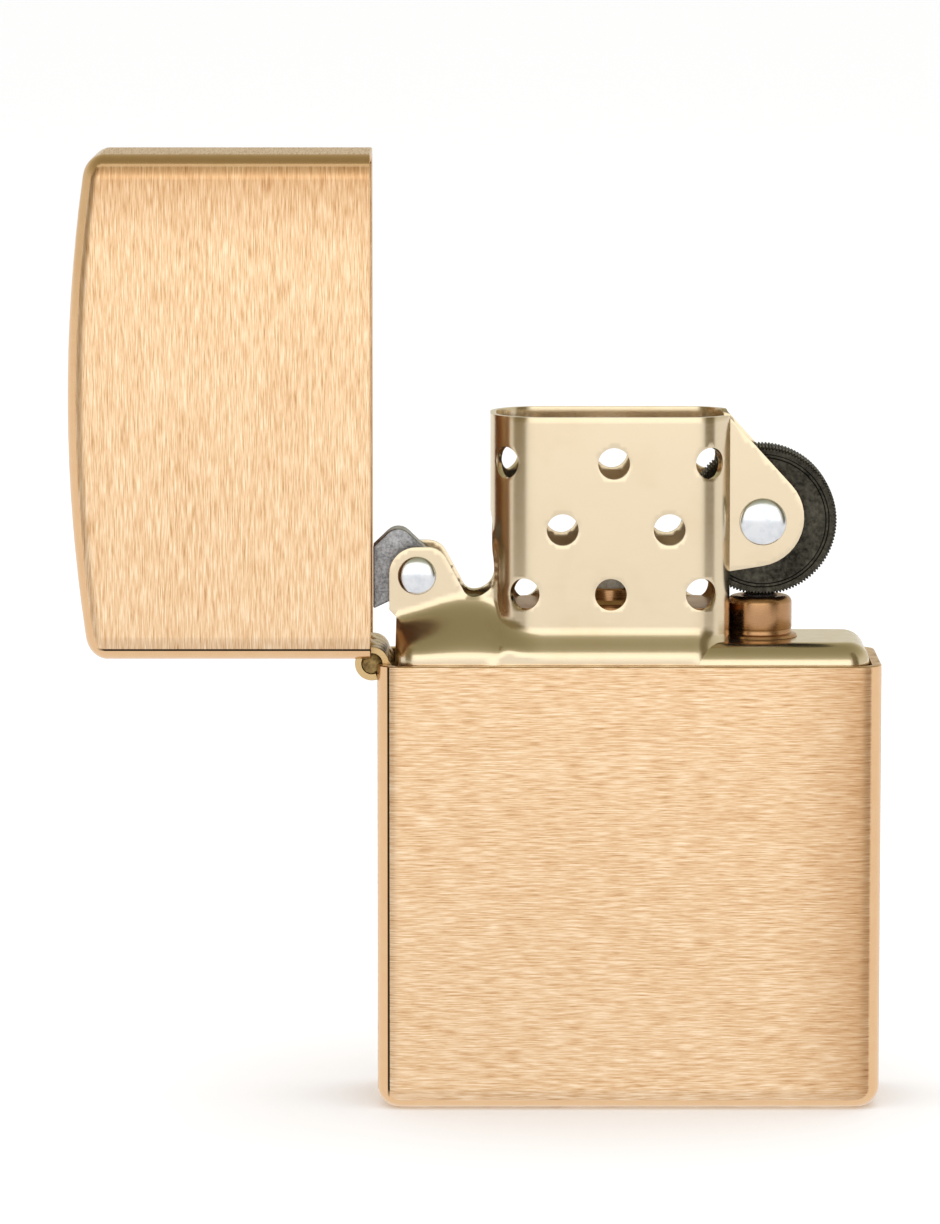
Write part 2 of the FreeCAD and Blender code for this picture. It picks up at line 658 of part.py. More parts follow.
def build_felt_pad():
    """Felt pad in the tank's mouth, with a hole for the flint screw."""
    body = new_body("felt_pad")
    gap = "(sheet + pad_fit)"
    outline = new_sketch(body, "pad_outline", "XY_Plane", "pad_foot")
    draw_rounded_rectangle(
        outline, "tank_left + " + gap, "tank_right - " + gap,
        "-tank_depth / 2 + " + gap, "tank_depth / 2 - " + gap, "(tank_corner - sheet)",
    )
    extrude(body, "Pad", outline, "pad_top - pad_foot")
    hole = new_sketch(body, "pad_screw_hole", "XY_Plane", "0")
    draw_circle(hole, "tube_x", "0", "screw_head_radius + pad_fit")
    extrude(body, "Pocket", hole, "2 * pad_top", backwards=True)
    return body


def build_cotton_packing():
    """Cotton balls packed round the wick and the flint tube."""
    balls = []
    rows = 3
    depth = "(tank_depth / 2 - sheet - cotton_wall_gap)"
    columns = [
        ("tank_left + sheet + cotton_wall_gap", "wick_x - wick_radius - cotton_tube_gap"),
        ("wick_x + wick_radius + cotton_tube_gap", "tube_x - tube_radius - cotton_tube_gap"),
        ("tube_x + tube_radius + cotton_tube_gap", "tank_right - sheet - cotton_wall_gap"),
    ]
    step = "((cotton_top - cotton_foot) / %d)" % rows
    for column, (left, right) in enumerate(columns):
        for row in range(rows):
            ball = document.addObject("Part::Box", "cotton_block_%d_%d" % (column, row))
            bind(ball, "Length", "(%s) - (%s)" % (right, left))
            bind(ball, "Width", "2 * " + depth)
            bind(ball, "Height", step + " - cotton_gap")
            bind(ball, ".Placement.Base.x", left)
            bind(ball, ".Placement.Base.y", "-" + depth)
            bind(ball, ".Placement.Base.z", "cotton_foot + %d * %s" % (row, step))
            name = "cotton_ball_%d_%d" % (column, row)
            balls.append(soften(name, ball, "cotton_rounding", lambda edge: True))
    packing = document.addObject("Part::Compound", "cotton_packing")
    packing.Links = balls
    packing.Label = "cotton_packing"
    return packing


def build_flint_tube():
    """Tube that holds flint, spring and screw, with its collar under the wheel."""
    tube = stand_cylinder("tube_wall", "tube_radius", "tube_foot + tube_seat", "collar_top", "tube_x")
    collar = stand_cylinder("tube_collar", "collar_radius", "shoulder_top", "collar_top", "tube_x")
    document.recompute()
    top = size("collar_top")
    rounded = soften("tube_collar_round", collar, "collar_round", lies_at(top))
    bore = stand_cylinder("tube_bore_tool", "tube_bore", "0", "collar_top + tube_foot", "tube_x")
    return cut("flint_tube", fuse("tube_outside", [tube, rounded]), bore)


def build_flint():
    """Flint stick."""
    flint = stand_cylinder("flint_stick", "flint_radius", "flint_top - flint_length", "flint_top", "tube_x")
    return soften("flint", flint, "flint_round", lambda edge: edge.Closed)


def build_spring_tip():
    """Tip that sits in the spring's top end and pushes the flint."""
    under = "(flint_top - flint_length)"
    seat = under + " - tip_length"
    head = stand_cylinder("tip_head", "flint_radius - tip_fit", seat, under, "tube_x")
    stem = stand_cylinder(
        "tip_stem", "spring_radius - spring_wire - stem_fit", seat + " - stem_length", under, "tube_x"
    )
    return fuse("flint_spring_tip", [head, stem])


def build_flint_spring():
    """Long coil spring between the screw and the tip."""
    top = "(flint_top - flint_length - tip_length - spring_wire - spring_fit)"
    low = "(spring_foot + spring_wire + spring_fit)"
    path = document.addObject("Part::Helix", "spring_path")
    bind(path, "Pitch", "spring_pitch")
    bind(path, "Height", "%s - %s" % (top, low))
    bind(path, "Radius", "spring_radius")
    bind(path, ".Placement.Base.x", "tube_x")
    bind(path, ".Placement.Base.z", low)
    wire = document.addObject("Part::Circle", "spring_wire_section")
    bind(wire, "Radius", "spring_wire")
    wire.Placement.Rotation = FreeCAD.Rotation(Vector(1, 0, 0), 90)
    bind(wire, ".Placement.Base.x", "tube_x + spring_radius")
    bind(wire, ".Placement.Base.z", low)
    coil = document.addObject("Part::Sweep", "flint_spring")
    coil.Sections = [wire]
    coil.Spine = (path, [])
    coil.Solid = True
    coil.Frenet = True
    coil.Label = "flint_spring"
    return coil


def build_flint_screw():
    """Slotted screw that closes the flint tube from below."""
    head = stand_cylinder("screw_head", "screw_head_radius", "screw_head_foot", "screw_head_top", "tube_x")
    rounding = "screw_head_round"
    head = soften("screw_head_softened", head, rounding, lies_at(size("screw_head_foot")))
    shank = stand_cylinder(
        "screw_shank", "screw_shank_radius",
        "screw_head_top - screw_head_round", "screw_shank_top", "tube_x",
    )
    slot = document.addObject("Part::Box", "screw_slot_tool")
    bind(slot, "Length", "4 * screw_head_radius")
    bind(slot, "Width", "screw_slot")
    bind(slot, "Height", "2 * screw_slot_depth")
    bind(slot, ".Placement.Base.x", "tube_x - 2 * screw_head_radius")
    bind(slot, ".Placement.Base.y", "-screw_slot / 2")
    bind(slot, ".Placement.Base.z", "screw_head_foot - screw_slot_depth")
    return cut("flint_screw", fuse("screw_blank", [head, shank]), slot)


def build_wick():
    """Braided wick from the packing up into the windscreen."""
    cord = stand_cylinder("wick_cord", "wick_radius", "wick_foot", "wick_top", "wick_x")
    return soften("wick", cord, "wick_round", lies_at(size("wick_top")))


def build_cam():
    """Sintered cam on its rivet: a round boss and a blunt nose towards the lid."""
    body = new_body("cam")
    shape = new_sketch(body, "cam_outline", "XZ_Plane")
    draw_outline(shape, [
        ("cam_x - cam_nose_x", "cam_z + cam_nose_top"),
        ("cam_x - cam_nose_x", "cam_z - cam_nose_foot"),
        ("cam_x - cam_heel_x", "cam_z - cam_heel_z"),
        ("cam_x - cam_boss_x", "cam_z - cam_boss_z", "cam_boss", 1),
        ("cam_x + cam_back_x", "cam_z + cam_back_z"),
        ("cam_x + cam_crest_x", "cam_z + cam_crest_z"),
        ("cam_x - cam_lobe_x", "cam_z + cam_lobe_z", "cam_lobe_round", 1),
        ("cam_x - cam_brow_x", "cam_z + cam_brow_z"),
    ])
    extrude(body, "Pad", shape, "2 * cam_half_width", "Symmetric")
    bore = new_sketch(body, "cam_bore", "XZ_Plane")
    draw_circle(bore, "cam_x", "cam_z", "cam_rivet_radius + cam_fit")
    extrude(body, "Pocket", bore, "8 * cam_half_width", "Symmetric")
    return body


def build_flint_wheel():
    """Hardened striking wheel with chamfered rims."""
    body = new_body("flint_wheel")
    outline = new_sketch(body, "wheel_outline", "XZ_Plane")
    draw_circle(outline, "wheel_x", "wheel_z", "wheel_radius")
    disc = extrude(body, "Pad", outline, "2 * wheel_half_width", "Symmetric")
    chamfer = body.newObject("PartDesign::Chamfer", "wheel_rims")
    edges = enumerate(disc.Shape.Edges, start=1)
    chamfer.Base = (disc, ["Edge%d" % number for number, edge in edges if edge.Closed])
    bind(chamfer, "Size", "wheel_chamfer")
    document.recompute()
    bore = new_sketch(body, "wheel_bore", "XZ_Plane")
    draw_circle(bore, "wheel_x", "wheel_z", "wheel_rivet_radius + wheel_fit")
    extrude(body, "Pocket", bore, "4 * wheel_half_width", "Symmetric")
    return body


def build_cam_spring():
    """Flat spring on the shoulder, turned up under the cam."""
    body = new_body("cam_spring")
    low = "(shoulder_top + strip_lift)"
    top = "(shoulder_top + strip_lift + spring_strip)"
    profile = new_sketch(body, "cam_spring_side", "XZ_Plane")
    draw_outline(profile, [
        ("chimney_left - strip_right", low),
        ("chimney_left - strip_right", top),
        ("tank_left + strip_bend_x", top, "strip_bend", -1),
        ("tank_left + strip_bend_x - strip_bend", top + " + strip_bend"),
        ("tank_left + strip_tip_inner", low + " + strip_tip_high"),
        ("tank_left + strip_tip_outer", low + " + strip_tip_low"),
        ("tank_left + strip_rise_x", top + " + strip_bend", "strip_outer_bend", 1),
        ("tank_left + strip_bend_x", low),
    ])
    extrude(body, "Pad", profile, "2 * cam_half_width", "Symmetric")
    hole = new_sketch(body, "cam_spring_hole", "XY_Plane", "shoulder_top - spring_strip")
    draw_circle(hole, "chimney_left - strip_rivet_x", "0", "strip_rivet_radius")
    extrude(body, "Pocket", hole, "4 * spring_strip", backwards=True)
    return body


def build_cam_spring_rivet():
    """Rivet that holds the cam spring down."""
    place = "chimney_left - strip_rivet_x"
    shank = stand_cylinder(
        "spring_rivet_shank", "strip_rivet_radius",
        "shoulder_top + strip_lift", "shoulder_top + strip_shank_top", place,
    )
    head = stand_cylinder(
        "spring_rivet_head", "strip_head_radius",
        "shoulder_top + strip_lift + spring_strip", "shoulder_top + strip_head_top", place,
    )
    return fuse("cam_spring_rivet", [shank, head])


def swing_open(part):
    """Turn a lid part from closed to its resting, open position."""
    pivot = Vector(size("pivot_x"), 0, size("base_height"))
    turn = FreeCAD.Rotation(Vector(0, -1, 0), size("lid_open_angle"))
    part.Placement = FreeCAD.Placement(Vector(0, 0, 0), turn, pivot)
    return part


LID_BORE = "pin_radius + pin_clearance"
PARTS = [
    build_case_bottom(),
    build_hinge_leaf("case_hinge_leaf", (0, 2, 4), -1, "base_leaf_drop", "pin_radius"),
    build_hinge_pin(),
    swing_open(build_lid_shell()),
    swing_open(build_hinge_leaf("lid_hinge_leaf", (1, 3), 1, "lid_leaf_rise", LID_BORE)),
    build_fuel_tank(),
    build_insert_top(),
    build_chimney_floor(),
    build_felt_pad(),
    build_cotton_packing(),
    build_wick(),
    build_flint_tube(),
    build_flint(),
    build_spring_tip(),
    build_flint_spring(),
    build_flint_screw(),
    build_rivet("cam_rivet", "cam_rivet_radius", "cam_head_radius", "cam_x", "cam_z"),
    build_rivet("wheel_rivet", "wheel_rivet_radius", "wheel_head_radius", "wheel_x", "wheel_z"),
    build_cam(),
    build_cam_spring(),
    build_cam_spring_rivet(),
    build_flint_wheel(),
]

document.recompute()
for thing in document.Objects:
    if "Invalid" in thing.State or "Error" in thing.State:
        raise RuntimeError("%s did not build: %s" % (thing.Label, thing.State))

os.makedirs("parts", exist_ok=True)
for part in PARTS:
    if part.Shape.isNull() or not part.Shape.isValid():
        raise RuntimeError("%s has no valid shape" % part.Label)
    part.Shape.exportStep("parts/%s.step" % part.Label)
    print("%s: %d solid(s), %.2f mm3" % (part.Label, len(part.Shape.Solids), part.Shape.Volume))
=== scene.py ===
import json
import math

import bmesh
import bpy
from mathutils import Matrix, Vector, noise
from mathutils.geometry import delaunay_2d_cdt


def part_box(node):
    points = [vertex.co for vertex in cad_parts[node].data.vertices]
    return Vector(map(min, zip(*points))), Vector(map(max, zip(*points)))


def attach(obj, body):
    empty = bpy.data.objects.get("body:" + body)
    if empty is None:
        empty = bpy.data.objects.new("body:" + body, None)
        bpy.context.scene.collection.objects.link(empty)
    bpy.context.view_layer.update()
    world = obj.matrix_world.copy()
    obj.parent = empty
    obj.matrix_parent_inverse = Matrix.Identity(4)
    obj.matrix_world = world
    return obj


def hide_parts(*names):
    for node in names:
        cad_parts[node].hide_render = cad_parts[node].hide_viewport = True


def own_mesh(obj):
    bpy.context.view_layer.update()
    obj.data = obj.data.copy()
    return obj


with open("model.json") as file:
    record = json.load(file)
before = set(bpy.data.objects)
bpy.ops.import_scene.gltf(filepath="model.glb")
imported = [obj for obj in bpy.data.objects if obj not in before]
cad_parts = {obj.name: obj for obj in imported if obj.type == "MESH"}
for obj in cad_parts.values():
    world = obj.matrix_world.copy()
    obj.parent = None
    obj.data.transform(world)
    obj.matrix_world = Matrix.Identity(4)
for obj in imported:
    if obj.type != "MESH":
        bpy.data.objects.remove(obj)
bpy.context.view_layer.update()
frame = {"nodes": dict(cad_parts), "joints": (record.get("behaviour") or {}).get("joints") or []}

# Lengths are millimetres in the frame's axes; pieces are scaled to metres when made.
MM = 0.001
SHEET = 0.45


def box_mm(node):
    """Lowest and highest corner of a CAD node in millimetres."""
    low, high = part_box(node)
    return Vector(low) / MM, Vector(high) / MM


def joint_named(name):
    """A joint of the frame."""
    return next(joint for joint in frame["joints"] if joint["name"] == name)


def joint_place(name):
    """Axis point of a hinge in millimetres."""
    return Vector(joint_named(name)["pos_m"]) / MM


PIVOT = joint_place("lid_hinge")
CAM = joint_place("cam_rock")
WHEEL = joint_place("wheel_spin")
TUBE = joint_place("flint_screw_turn")
BASE_LOW, BASE_HIGH = box_mm("case_bottom")
TOP_LOW, TOP_HIGH = box_mm("insert_top")
TANK_LOW, TANK_HIGH = box_mm("fuel_tank")


# ---- mesh helpers ----

def add_mesh(name, points, faces):
    """Object from points in millimetres and faces."""
    mesh = bpy.data.meshes.new(name)
    mesh.from_pydata([Vector(point) * MM for point in points], [], faces)
    obj = bpy.data.objects.new(name, mesh)
    bpy.context.scene.collection.objects.link(obj)
    return obj


def add_modifier(obj, kind, **settings):
    """Modifier with its settings."""
    modifier = obj.modifiers.new(kind.lower(), kind)
    for key, value in settings.items():
        setattr(modifier, key, value)
    return modifier


def soften_edges(obj, width, degrees):
    """Bevel the edges that turn by more than an angle."""
    add_modifier(
        obj, "BEVEL", width=width * MM, segments=3, limit_method="ANGLE", angle_limit=math.radians(degrees)
    )


def settle(obj, sharp_degrees=35):
    """Apply the modifiers, then shade smooth except across sharp edges."""
    depsgraph = bpy.context.evaluated_depsgraph_get()
    mesh = bpy.data.meshes.new_from_object(obj.evaluated_get(depsgraph))
    obj.modifiers.clear()
    obj.data = mesh
    work = bmesh.new()
    work.from_mesh(mesh)
    bmesh.ops.remove_doubles(work, verts=work.verts, dist=0.5e-6)
    bmesh.ops.recalc_face_normals(work, faces=work.faces)
    for face in work.faces:
        face.smooth = True
    limit = math.radians(sharp_degrees)
    for edge in work.edges:
        edge.smooth = len(edge.link_faces) == 2 and edge.calc_face_angle(0) < limit
    work.to_mesh(mesh)
    work.free()
    return obj


def grid_faces(rows, columns):
    """Quads between closed rows of points."""
    faces = []
    for row in range(rows - 1):
        for column in range(columns):
            ahead = (column + 1) % columns
            here, above = row * columns, (row + 1) * columns
            faces.append((here + column, here + ahead, above + ahead, above + column))
    return faces


def lathe(name, profile, centre, axis, steps=72, ripple=None):
    """Solid of revolution from (radius, along) pairs; ripple(angle, along) adds to the radius."""
    points = []
    for radius, along in profile:
        for step in range(steps):
            turn = 2 * math.pi * step / steps
            reach = radius + (ripple(turn, along) if ripple and radius > 0.01 else 0)
            across, up = reach * math.cos(turn), reach * math.sin(turn)
            if axis == "Y":
                points.append((centre[0] + across, centre[1] + along, centre[2] + up))
            else:
                points.append((centre[0] + across, centre[1] + up, centre[2] + along))
    faces = grid_faces(len(profile), steps)
    last = (len(profile) - 1) * steps
    if profile[0] != profile[-1]:
        faces.append(tuple(range(steps)))
        faces.append(tuple(range(last, last + steps)))
    return settle(add_mesh(name, points, faces))


def arc_points(centre, radius, start, stop, steps):
    """Points of an arc; angles in degrees."""
    points = []
    for step in range(steps + 1):
        turn = math.radians(start + (stop - start) * step / steps)
        points.append((centre[0] + radius * math.cos(turn), centre[1] + radius * math.sin(turn)))
    return points


def rounded_outline(corners, steps=12):
    """Closed outline through (x, y, radius) corners with an arc at each corner."""
    outline = []
    for index, (x, y, radius) in enumerate(corners):
        corner = Vector((x, y))
        if radius == 0:
            outline.append((x, y))
            continue
        back = (Vector(corners[index - 1][:2]) - corner).normalized()
        ahead = (Vector(corners[(index + 1) % len(corners)][:2]) - corner).normalized()
        half = back.angle(ahead) / 2
        centre = corner + (back + ahead).normalized() * radius / math.sin(half)
        first = corner + back * radius / math.tan(half) - centre
        last = corner + ahead * radius / math.tan(half) - centre
        sweep = first.angle_signed(last)
        for step in range(steps + 1):
            turned = first.copy()
            turned.rotate(Matrix.Rotation(-sweep * step / steps, 2))
            outline.append(tuple(centre + turned))
    return outline


def fine_outline(outline, longest):
    """The same closed outline with its long sides split into short steps."""
    points = []
    for index, (x, y) in enumerate(outline):
        next_x, next_y = outline[(index + 1) % len(outline)]
        parts = max(int(math.ceil(math.dist((x, y), (next_x, next_y)) / longest)), 1)
        for part in range(parts):
            share = part / parts
            points.append((x + (next_x - x) * share, y + (next_y - y) * share))
    return points


def extrude_outline(name, outline, y_low, y_high, bevel):
    """Plate from an (x, z) outline between two depths, with softened edges."""
    count = len(outline)
    points = [(x, y, z) for y in (y_low, y_high) for x, z in outline]
    faces = [(i, (i + 1) % count, count + (i + 1) % count, count + i) for i in range(count)]
    faces += [tuple(range(count)), tuple(range(count, 2 * count))]
    obj = add_mesh(name, points, faces)
    obj.data.validate()
    settle(obj)
    soften_edges(obj, bevel, 50)
    return settle(obj)


def rounded_rectangle_ring(half_x, half_y, radius, corner_steps=10, side_steps=16):
    """Ring of points round a rectangle with arcs at its corners; every ring has the same count."""
    radius = max(radius, 0.02)
    corners = []
    for quarter, (sign_x, sign_y) in enumerate(((1, 1), (-1, 1), (-1, -1), (1, -1))):
        centre = (sign_x * (half_x - radius), sign_y * (half_y - radius))
        corners.append(arc_points(centre, radius, 90 * quarter, 90 * quarter + 90, corner_steps))
    ring = []
    for quarter, corner in enumerate(corners):
        ring += corner
        start_x, start_y = corner[-1]
        stop_x, stop_y = corners[(quarter + 1) % 4][0]
        for step in range(1, side_steps):
            part = step / side_steps
            ring.append((start_x + (stop_x - start_x) * part, start_y + (stop_y - start_y) * part))
    return ring


def loft_rings(name, levels, half_x, half_y, radius, centre, pinched=False):
    """Shell through rings, each (inset, height). Pinched end rings meet on the middle line."""
    points = []
    last = len(levels) - 1
    for number, (inset, height) in enumerate(levels):
        flat = pinched and number in (0, last)
        for x, y in rounded_rectangle_ring(half_x - inset, half_y - inset, radius - inset):
            points.append((centre[0] + x, centre[1] + (0 if flat else y), centre[2] + height))
    count = len(points) // len(levels)
    faces = grid_faces(len(levels), count)
    if not pinched:
        faces.append(tuple(range(count)))
        faces.append(tuple(range(len(points) - count, len(points))))
    return add_mesh(name, points, faces)


def edge_levels(inset, height, radius, direction, steps=10):
    """Levels of a quarter-round edge whose wall is at inset and whose flat is at height."""
    levels = []
    for step in range(steps + 1):
        turn = math.radians(90 * step / steps)
        level_inset = inset + radius * (1 - math.cos(turn))
        levels.append((level_inset, height + direction * radius * (1 - math.sin(turn))))
    return levels


def cut_away(obj, tool, sharp_degrees=35):
    """Cut one object out of another and delete the cutter."""
    add_modifier(obj, "BOOLEAN", operation="DIFFERENCE", object=tool, solver="EXACT")
    settle(obj, sharp_degrees)
    bpy.data.objects.remove(tool)


def cut_box(obj, low, high):
    """Cut a box out of an object."""
    xs, ys, zs = zip(low, high)
    corners = [(x, y, z) for x in xs for y in ys for z in zs]
    faces = [(0, 1, 3, 2), (4, 6, 7, 5), (0, 4, 5, 1), (2, 3, 7, 6), (0, 2, 6, 4), (1, 5, 7, 3)]
    cut_away(obj, add_mesh("cutter", corners, faces))


def swing_lid(obj):
    """Turn a piece drawn with the lid shut into the stored, open position."""
    pivot = PIVOT * MM
    turn = Matrix.Rotation(math.radians(90), 4, (0, -1, 0))
    obj.data.transform(Matrix.Translation(pivot) @ turn @ Matrix.Translation(-pivot))
    return obj


# ---- materials ----

class Shader:
    """Node material with a few shorthand calls."""

    def __init__(self, name, color, roughness, metallic=1.0):
        self.material = bpy.data.materials.new(name)
        self.material.use_nodes = True
        self.tree = self.material.node_tree
        self.main = self.tree.nodes["Principled BSDF"]
        self.main.inputs["Metallic"].default_value = metallic
        self.main.inputs["Roughness"].default_value = roughness
        self.main.inputs["Base Color"].default_value = (*color, 1)
        self.coordinates = self.tree.nodes.new("ShaderNodeTexCoord")

    def link(self, source, target):
        """Join an output to an input."""
        self.tree.links.new(source, target)

    def finish(self, socket, source):
        """Join an output to a socket of the surface shader."""
        self.link(source, self.main.inputs[socket])

    def axes(self, output):
        """X, Y and Z of a texture coordinate."""
        split = self.tree.nodes.new("ShaderNodeSeparateXYZ")
        self.link(self.coordinates.outputs[output], split.inputs["Vector"])
        return split.outputs

    def noise(self, scale, detail=4.0, roughness=0.55):
        """Noise with a scale per axis, in waves per metre, locked to the object."""
        mapping = self.tree.nodes.new("ShaderNodeMapping")
        mapping.inputs["Scale"].default_value = scale
        texture = self.tree.nodes.new("ShaderNodeTexNoise")
        texture.inputs["Scale"].default_value = 1.0
        texture.inputs["Detail"].default_value = detail
        texture.inputs["Roughness"].default_value = roughness
        self.link(self.coordinates.outputs["Object"], mapping.inputs["Vector"])
        self.link(mapping.outputs["Vector"], texture.inputs["Vector"])
        return texture.outputs["Fac"]

    def math(self, operation, first, second):
        """Math node on outputs or numbers."""
        node = self.tree.nodes.new("ShaderNodeMath")
        node.operation = operation
        for index, value in enumerate((first, second)):
            if isinstance(value, (int, float)):
                node.inputs[index].default_value = value
            else:
                self.link(value, node.inputs[index])
        return node.outputs[0]

    def spread(self, value, low, high, to_low, to_high):
        """Map a value from one range to another, clamped."""
        node = self.tree.nodes.new("ShaderNodeMapRange")
        ends = {"From Min": low, "From Max": high, "To Min": to_low, "To Max": to_high}
        for socket, number in ends.items():
            node.inputs[socket].default_value = number
        self.link(value, node.inputs["Value"])
        return node.outputs["Result"]

    def ramp(self, value, stops):
        """Colour ramp through (position, colour) stops."""
        node = self.tree.nodes.new("ShaderNodeValToRGB")
        elements = node.color_ramp.elements
        while len(elements) < len(stops):
            elements.new(0.5)
        for element, (position, color) in zip(elements, stops):
            element.position = position
            element.color = (*color, 1)
        self.link(value, node.inputs["Fac"])
        return node.outputs["Color"]

    def mix(self, factor, first, second):
        """Mix two colours by a factor."""
        node = self.tree.nodes.new("ShaderNodeMixRGB")
        for socket, value in zip(("Fac", "Color1", "Color2"), (factor, first, second)):
            if isinstance(value, tuple):
                node.inputs[socket].default_value = (*value, 1)
            else:
                self.link(value, node.inputs[socket])
        return node.outputs["Color"]

    def bump(self, height, strength, distance):
        """Bump from a height, distance in metres."""
        node = self.tree.nodes.new("ShaderNodeBump")
        node.inputs["Strength"].default_value = strength
        node.inputs["Distance"].default_value = distance
        self.link(height, node.inputs["Height"])
        self.finish("Normal", node.outputs["Normal"])

    def flatness(self):
        """1 on the flat faces, 0 on the rounded edges between them."""
        normal = self.axes("Normal")
        end = self.math("ABSOLUTE", normal["X"], 0)
        top = self.math("ABSOLUTE", normal["Z"], 0)
        side = self.spread(self.math("MAXIMUM", end, top), 0.955, 0.985, 0, 1)
        return self.math("MAXIMUM", self.front_or_back(), side)

    def front_or_back(self):
        """1 on the flat front and back, 0 elsewhere."""
        return self.spread(self.math("ABSOLUTE", self.axes("Normal")["Y"], 0), 0.80, 0.86, 0, 1)

    def toward_end(self, side, far_end):
        """Mask for painted shade: 0 over most of the front and back, rising smoothly in the last 9 mm before
        far_end.
        """
        share = self.spread(self.axes("Object")[side], far_end - 9 * MM, far_end - MM, 0, 1)
        front = self.math("MULTIPLY", self.front_or_back(), 0.85)
        return self.math("MULTIPLY", self.math("MULTIPLY", share, share), front)

    def painted_reflection_mask(self, side, fade):
        """Mask of a painted dark reflection: 1 in a thin line up the rounded front edge that faces the
        negative side axis.
        """
        normal = self.axes("Normal")
        toward = self.math("MULTIPLY", normal[side], -1)
        rising = self.spread(toward, 0.50, 0.52, 0, 1)
        falling = self.spread(toward, 0.58, 0.61, 1, 0)
        front = self.spread(normal["Y"], -0.75, -0.70, 1, 0)
        other = self.spread(self.math("ABSOLUTE", normal[fade], 0), 0.05, 0.5, 1, 0)
        line = self.math("MULTIPLY", self.math("MULTIPLY", rising, falling), front)
        return self.math("MULTIPLY", line, other)


def brushed_brass(name, grain, side, far_end):
    """Brushed brass with painted shade darkening it towards its far end and a painted dark reflection line
    up one front edge. Grain is the index of the axis that the lines follow.
    """
    shader = Shader(name, (0.9, 0.65, 0.37), 0.3)

    def streaks(along, across, detail, share):
        scale = [across, along, across]
        scale[grain] = along
        return shader.math("MULTIPLY", shader.noise(scale, detail), share)

    fine = streaks(620, 11500, 5, 0.68)
    middle = streaks(300, 5600, 5, 0.32)
    broad = shader.math("SUBTRACT", streaks(60, 600, 2, 0.05), 0.025)
    lines = shader.math("ADD", shader.math("ADD", fine, middle), broad)
    shades = (
        (0.34, (0.53, 0.295, 0.14)), (0.44, (0.72, 0.465, 0.26)),
        (0.52, (0.83, 0.585, 0.365)), (0.63, (0.96, 0.765, 0.55)),
    )
    # Darker copies of the grain colours, painted as shade towards the far end.
    painted_shade_shades = []
    for place, (red, green, blue) in shades:
        painted_shade_shades.append((place, (red * 0.66, green * 0.54, blue * 0.42)))
    painted_end_shade = shader.toward_end(side, far_end)
    brushed = shader.mix(painted_end_shade, shader.ramp(lines, shades), shader.ramp(lines, painted_shade_shades))
    edge = shader.mix(shader.noise((900, 900, 900), 3), (0.79, 0.50, 0.27), (0.85, 0.57, 0.33))
    flat = shader.flatness()
    painted_reflection_line = shader.painted_reflection_mask(side, "Z" if side == "X" else "X")
    # The near-black colour is a painted dark reflection of a flag, drawn along the front edge.
    shader.finish("Base Color", shader.mix(painted_reflection_line, shader.mix(flat, edge, brushed), (0.02, 0.013, 0.006)))
    rough = shader.math("MULTIPLY", shader.spread(lines, 0.3, 0.7, 0.42, 0.30), flat)
    shader.finish("Roughness", shader.math("ADD", rough, shader.spread(flat, 0, 1, 0.2, 0)))
    shader.bump(shader.math("MULTIPLY", lines, flat), 0.35, 0.03 * MM)
    return shader.material


def polished_gold(name, color, tarnish, roughness):
    """Polished plate with faint clouding, small scratches and darker tarnish patches."""
    shader = Shader(name, color, roughness)
    clouds = shader.spread(shader.noise((260, 260, 260), 5), 0.52, 0.78, 0, 0.5)
    shader.finish("Base Color", shader.mix(clouds, color, tarnish))
    scratches = shader.noise((900, 900, 14000), 3)
    shader.finish("Roughness", shader.spread(scratches, 0.35, 0.75, roughness * 0.9, roughness * 1.15))
    swell = shader.noise((160, 160, 160), 1)
    shader.bump(shader.math("ADD", shader.math("MULTIPLY", scratches, 0.004), swell), 0.05, 0.2 * MM)
    return shader.material


def speckled_steel(name, dark, light, roughness, scale):
    """Grainy sintered or hardened steel."""
    shader = Shader(name, light, roughness)
    grain = shader.noise((scale, scale, scale), 6, 0.7)
    patches = shader.noise((scale / 9, scale / 9, scale / 9), 4)
    mixed = shader.math("ADD", shader.math("MULTIPLY", grain, 0.6), shader.math("MULTIPLY", patches, 0.4))
    shader.finish("Base Color", shader.ramp(mixed, ((0.36, dark), (0.62, light))))
    shader.finish("Roughness", shader.spread(grain, 0.3, 0.7, roughness + 0.12, roughness - 0.08))
    shader.bump(grain, 0.35, 0.05 * MM)
    return shader.material


def bright_nickel(name):
    """Bright plated rivet with faint pits and swirls."""
    shader = Shader(name, (0.78, 0.80, 0.83), 0.12)
    pits = shader.noise((1100, 1100, 1100), 4)
    shades = ((0.3, (0.66, 0.69, 0.74)), (0.6, (0.80, 0.82, 0.85)))
    shader.finish("Base Color", shader.ramp(pits, shades))
    shader.finish("Roughness", shader.spread(pits, 0.3, 0.7, 0.22, 0.12))
    shader.bump(pits, 0.05, 0.04 * MM)
    return shader.material


def soft_fibre(name, pale, shade, scale):
    """Felt, cotton or wick fibre."""
    shader = Shader(name, pale, 0.95, 0.0)
    shader.main.inputs["Sheen Weight"].default_value = 0.4
    fibres = shader.noise((scale, scale * 2.5, scale), 8, 0.7)
    shader.finish("Base Color", shader.ramp(fibres, ((0.35, shade), (0.6, pale))))
    shader.bump(fibres, 0.7, 0.1 * MM)
    return shader.material


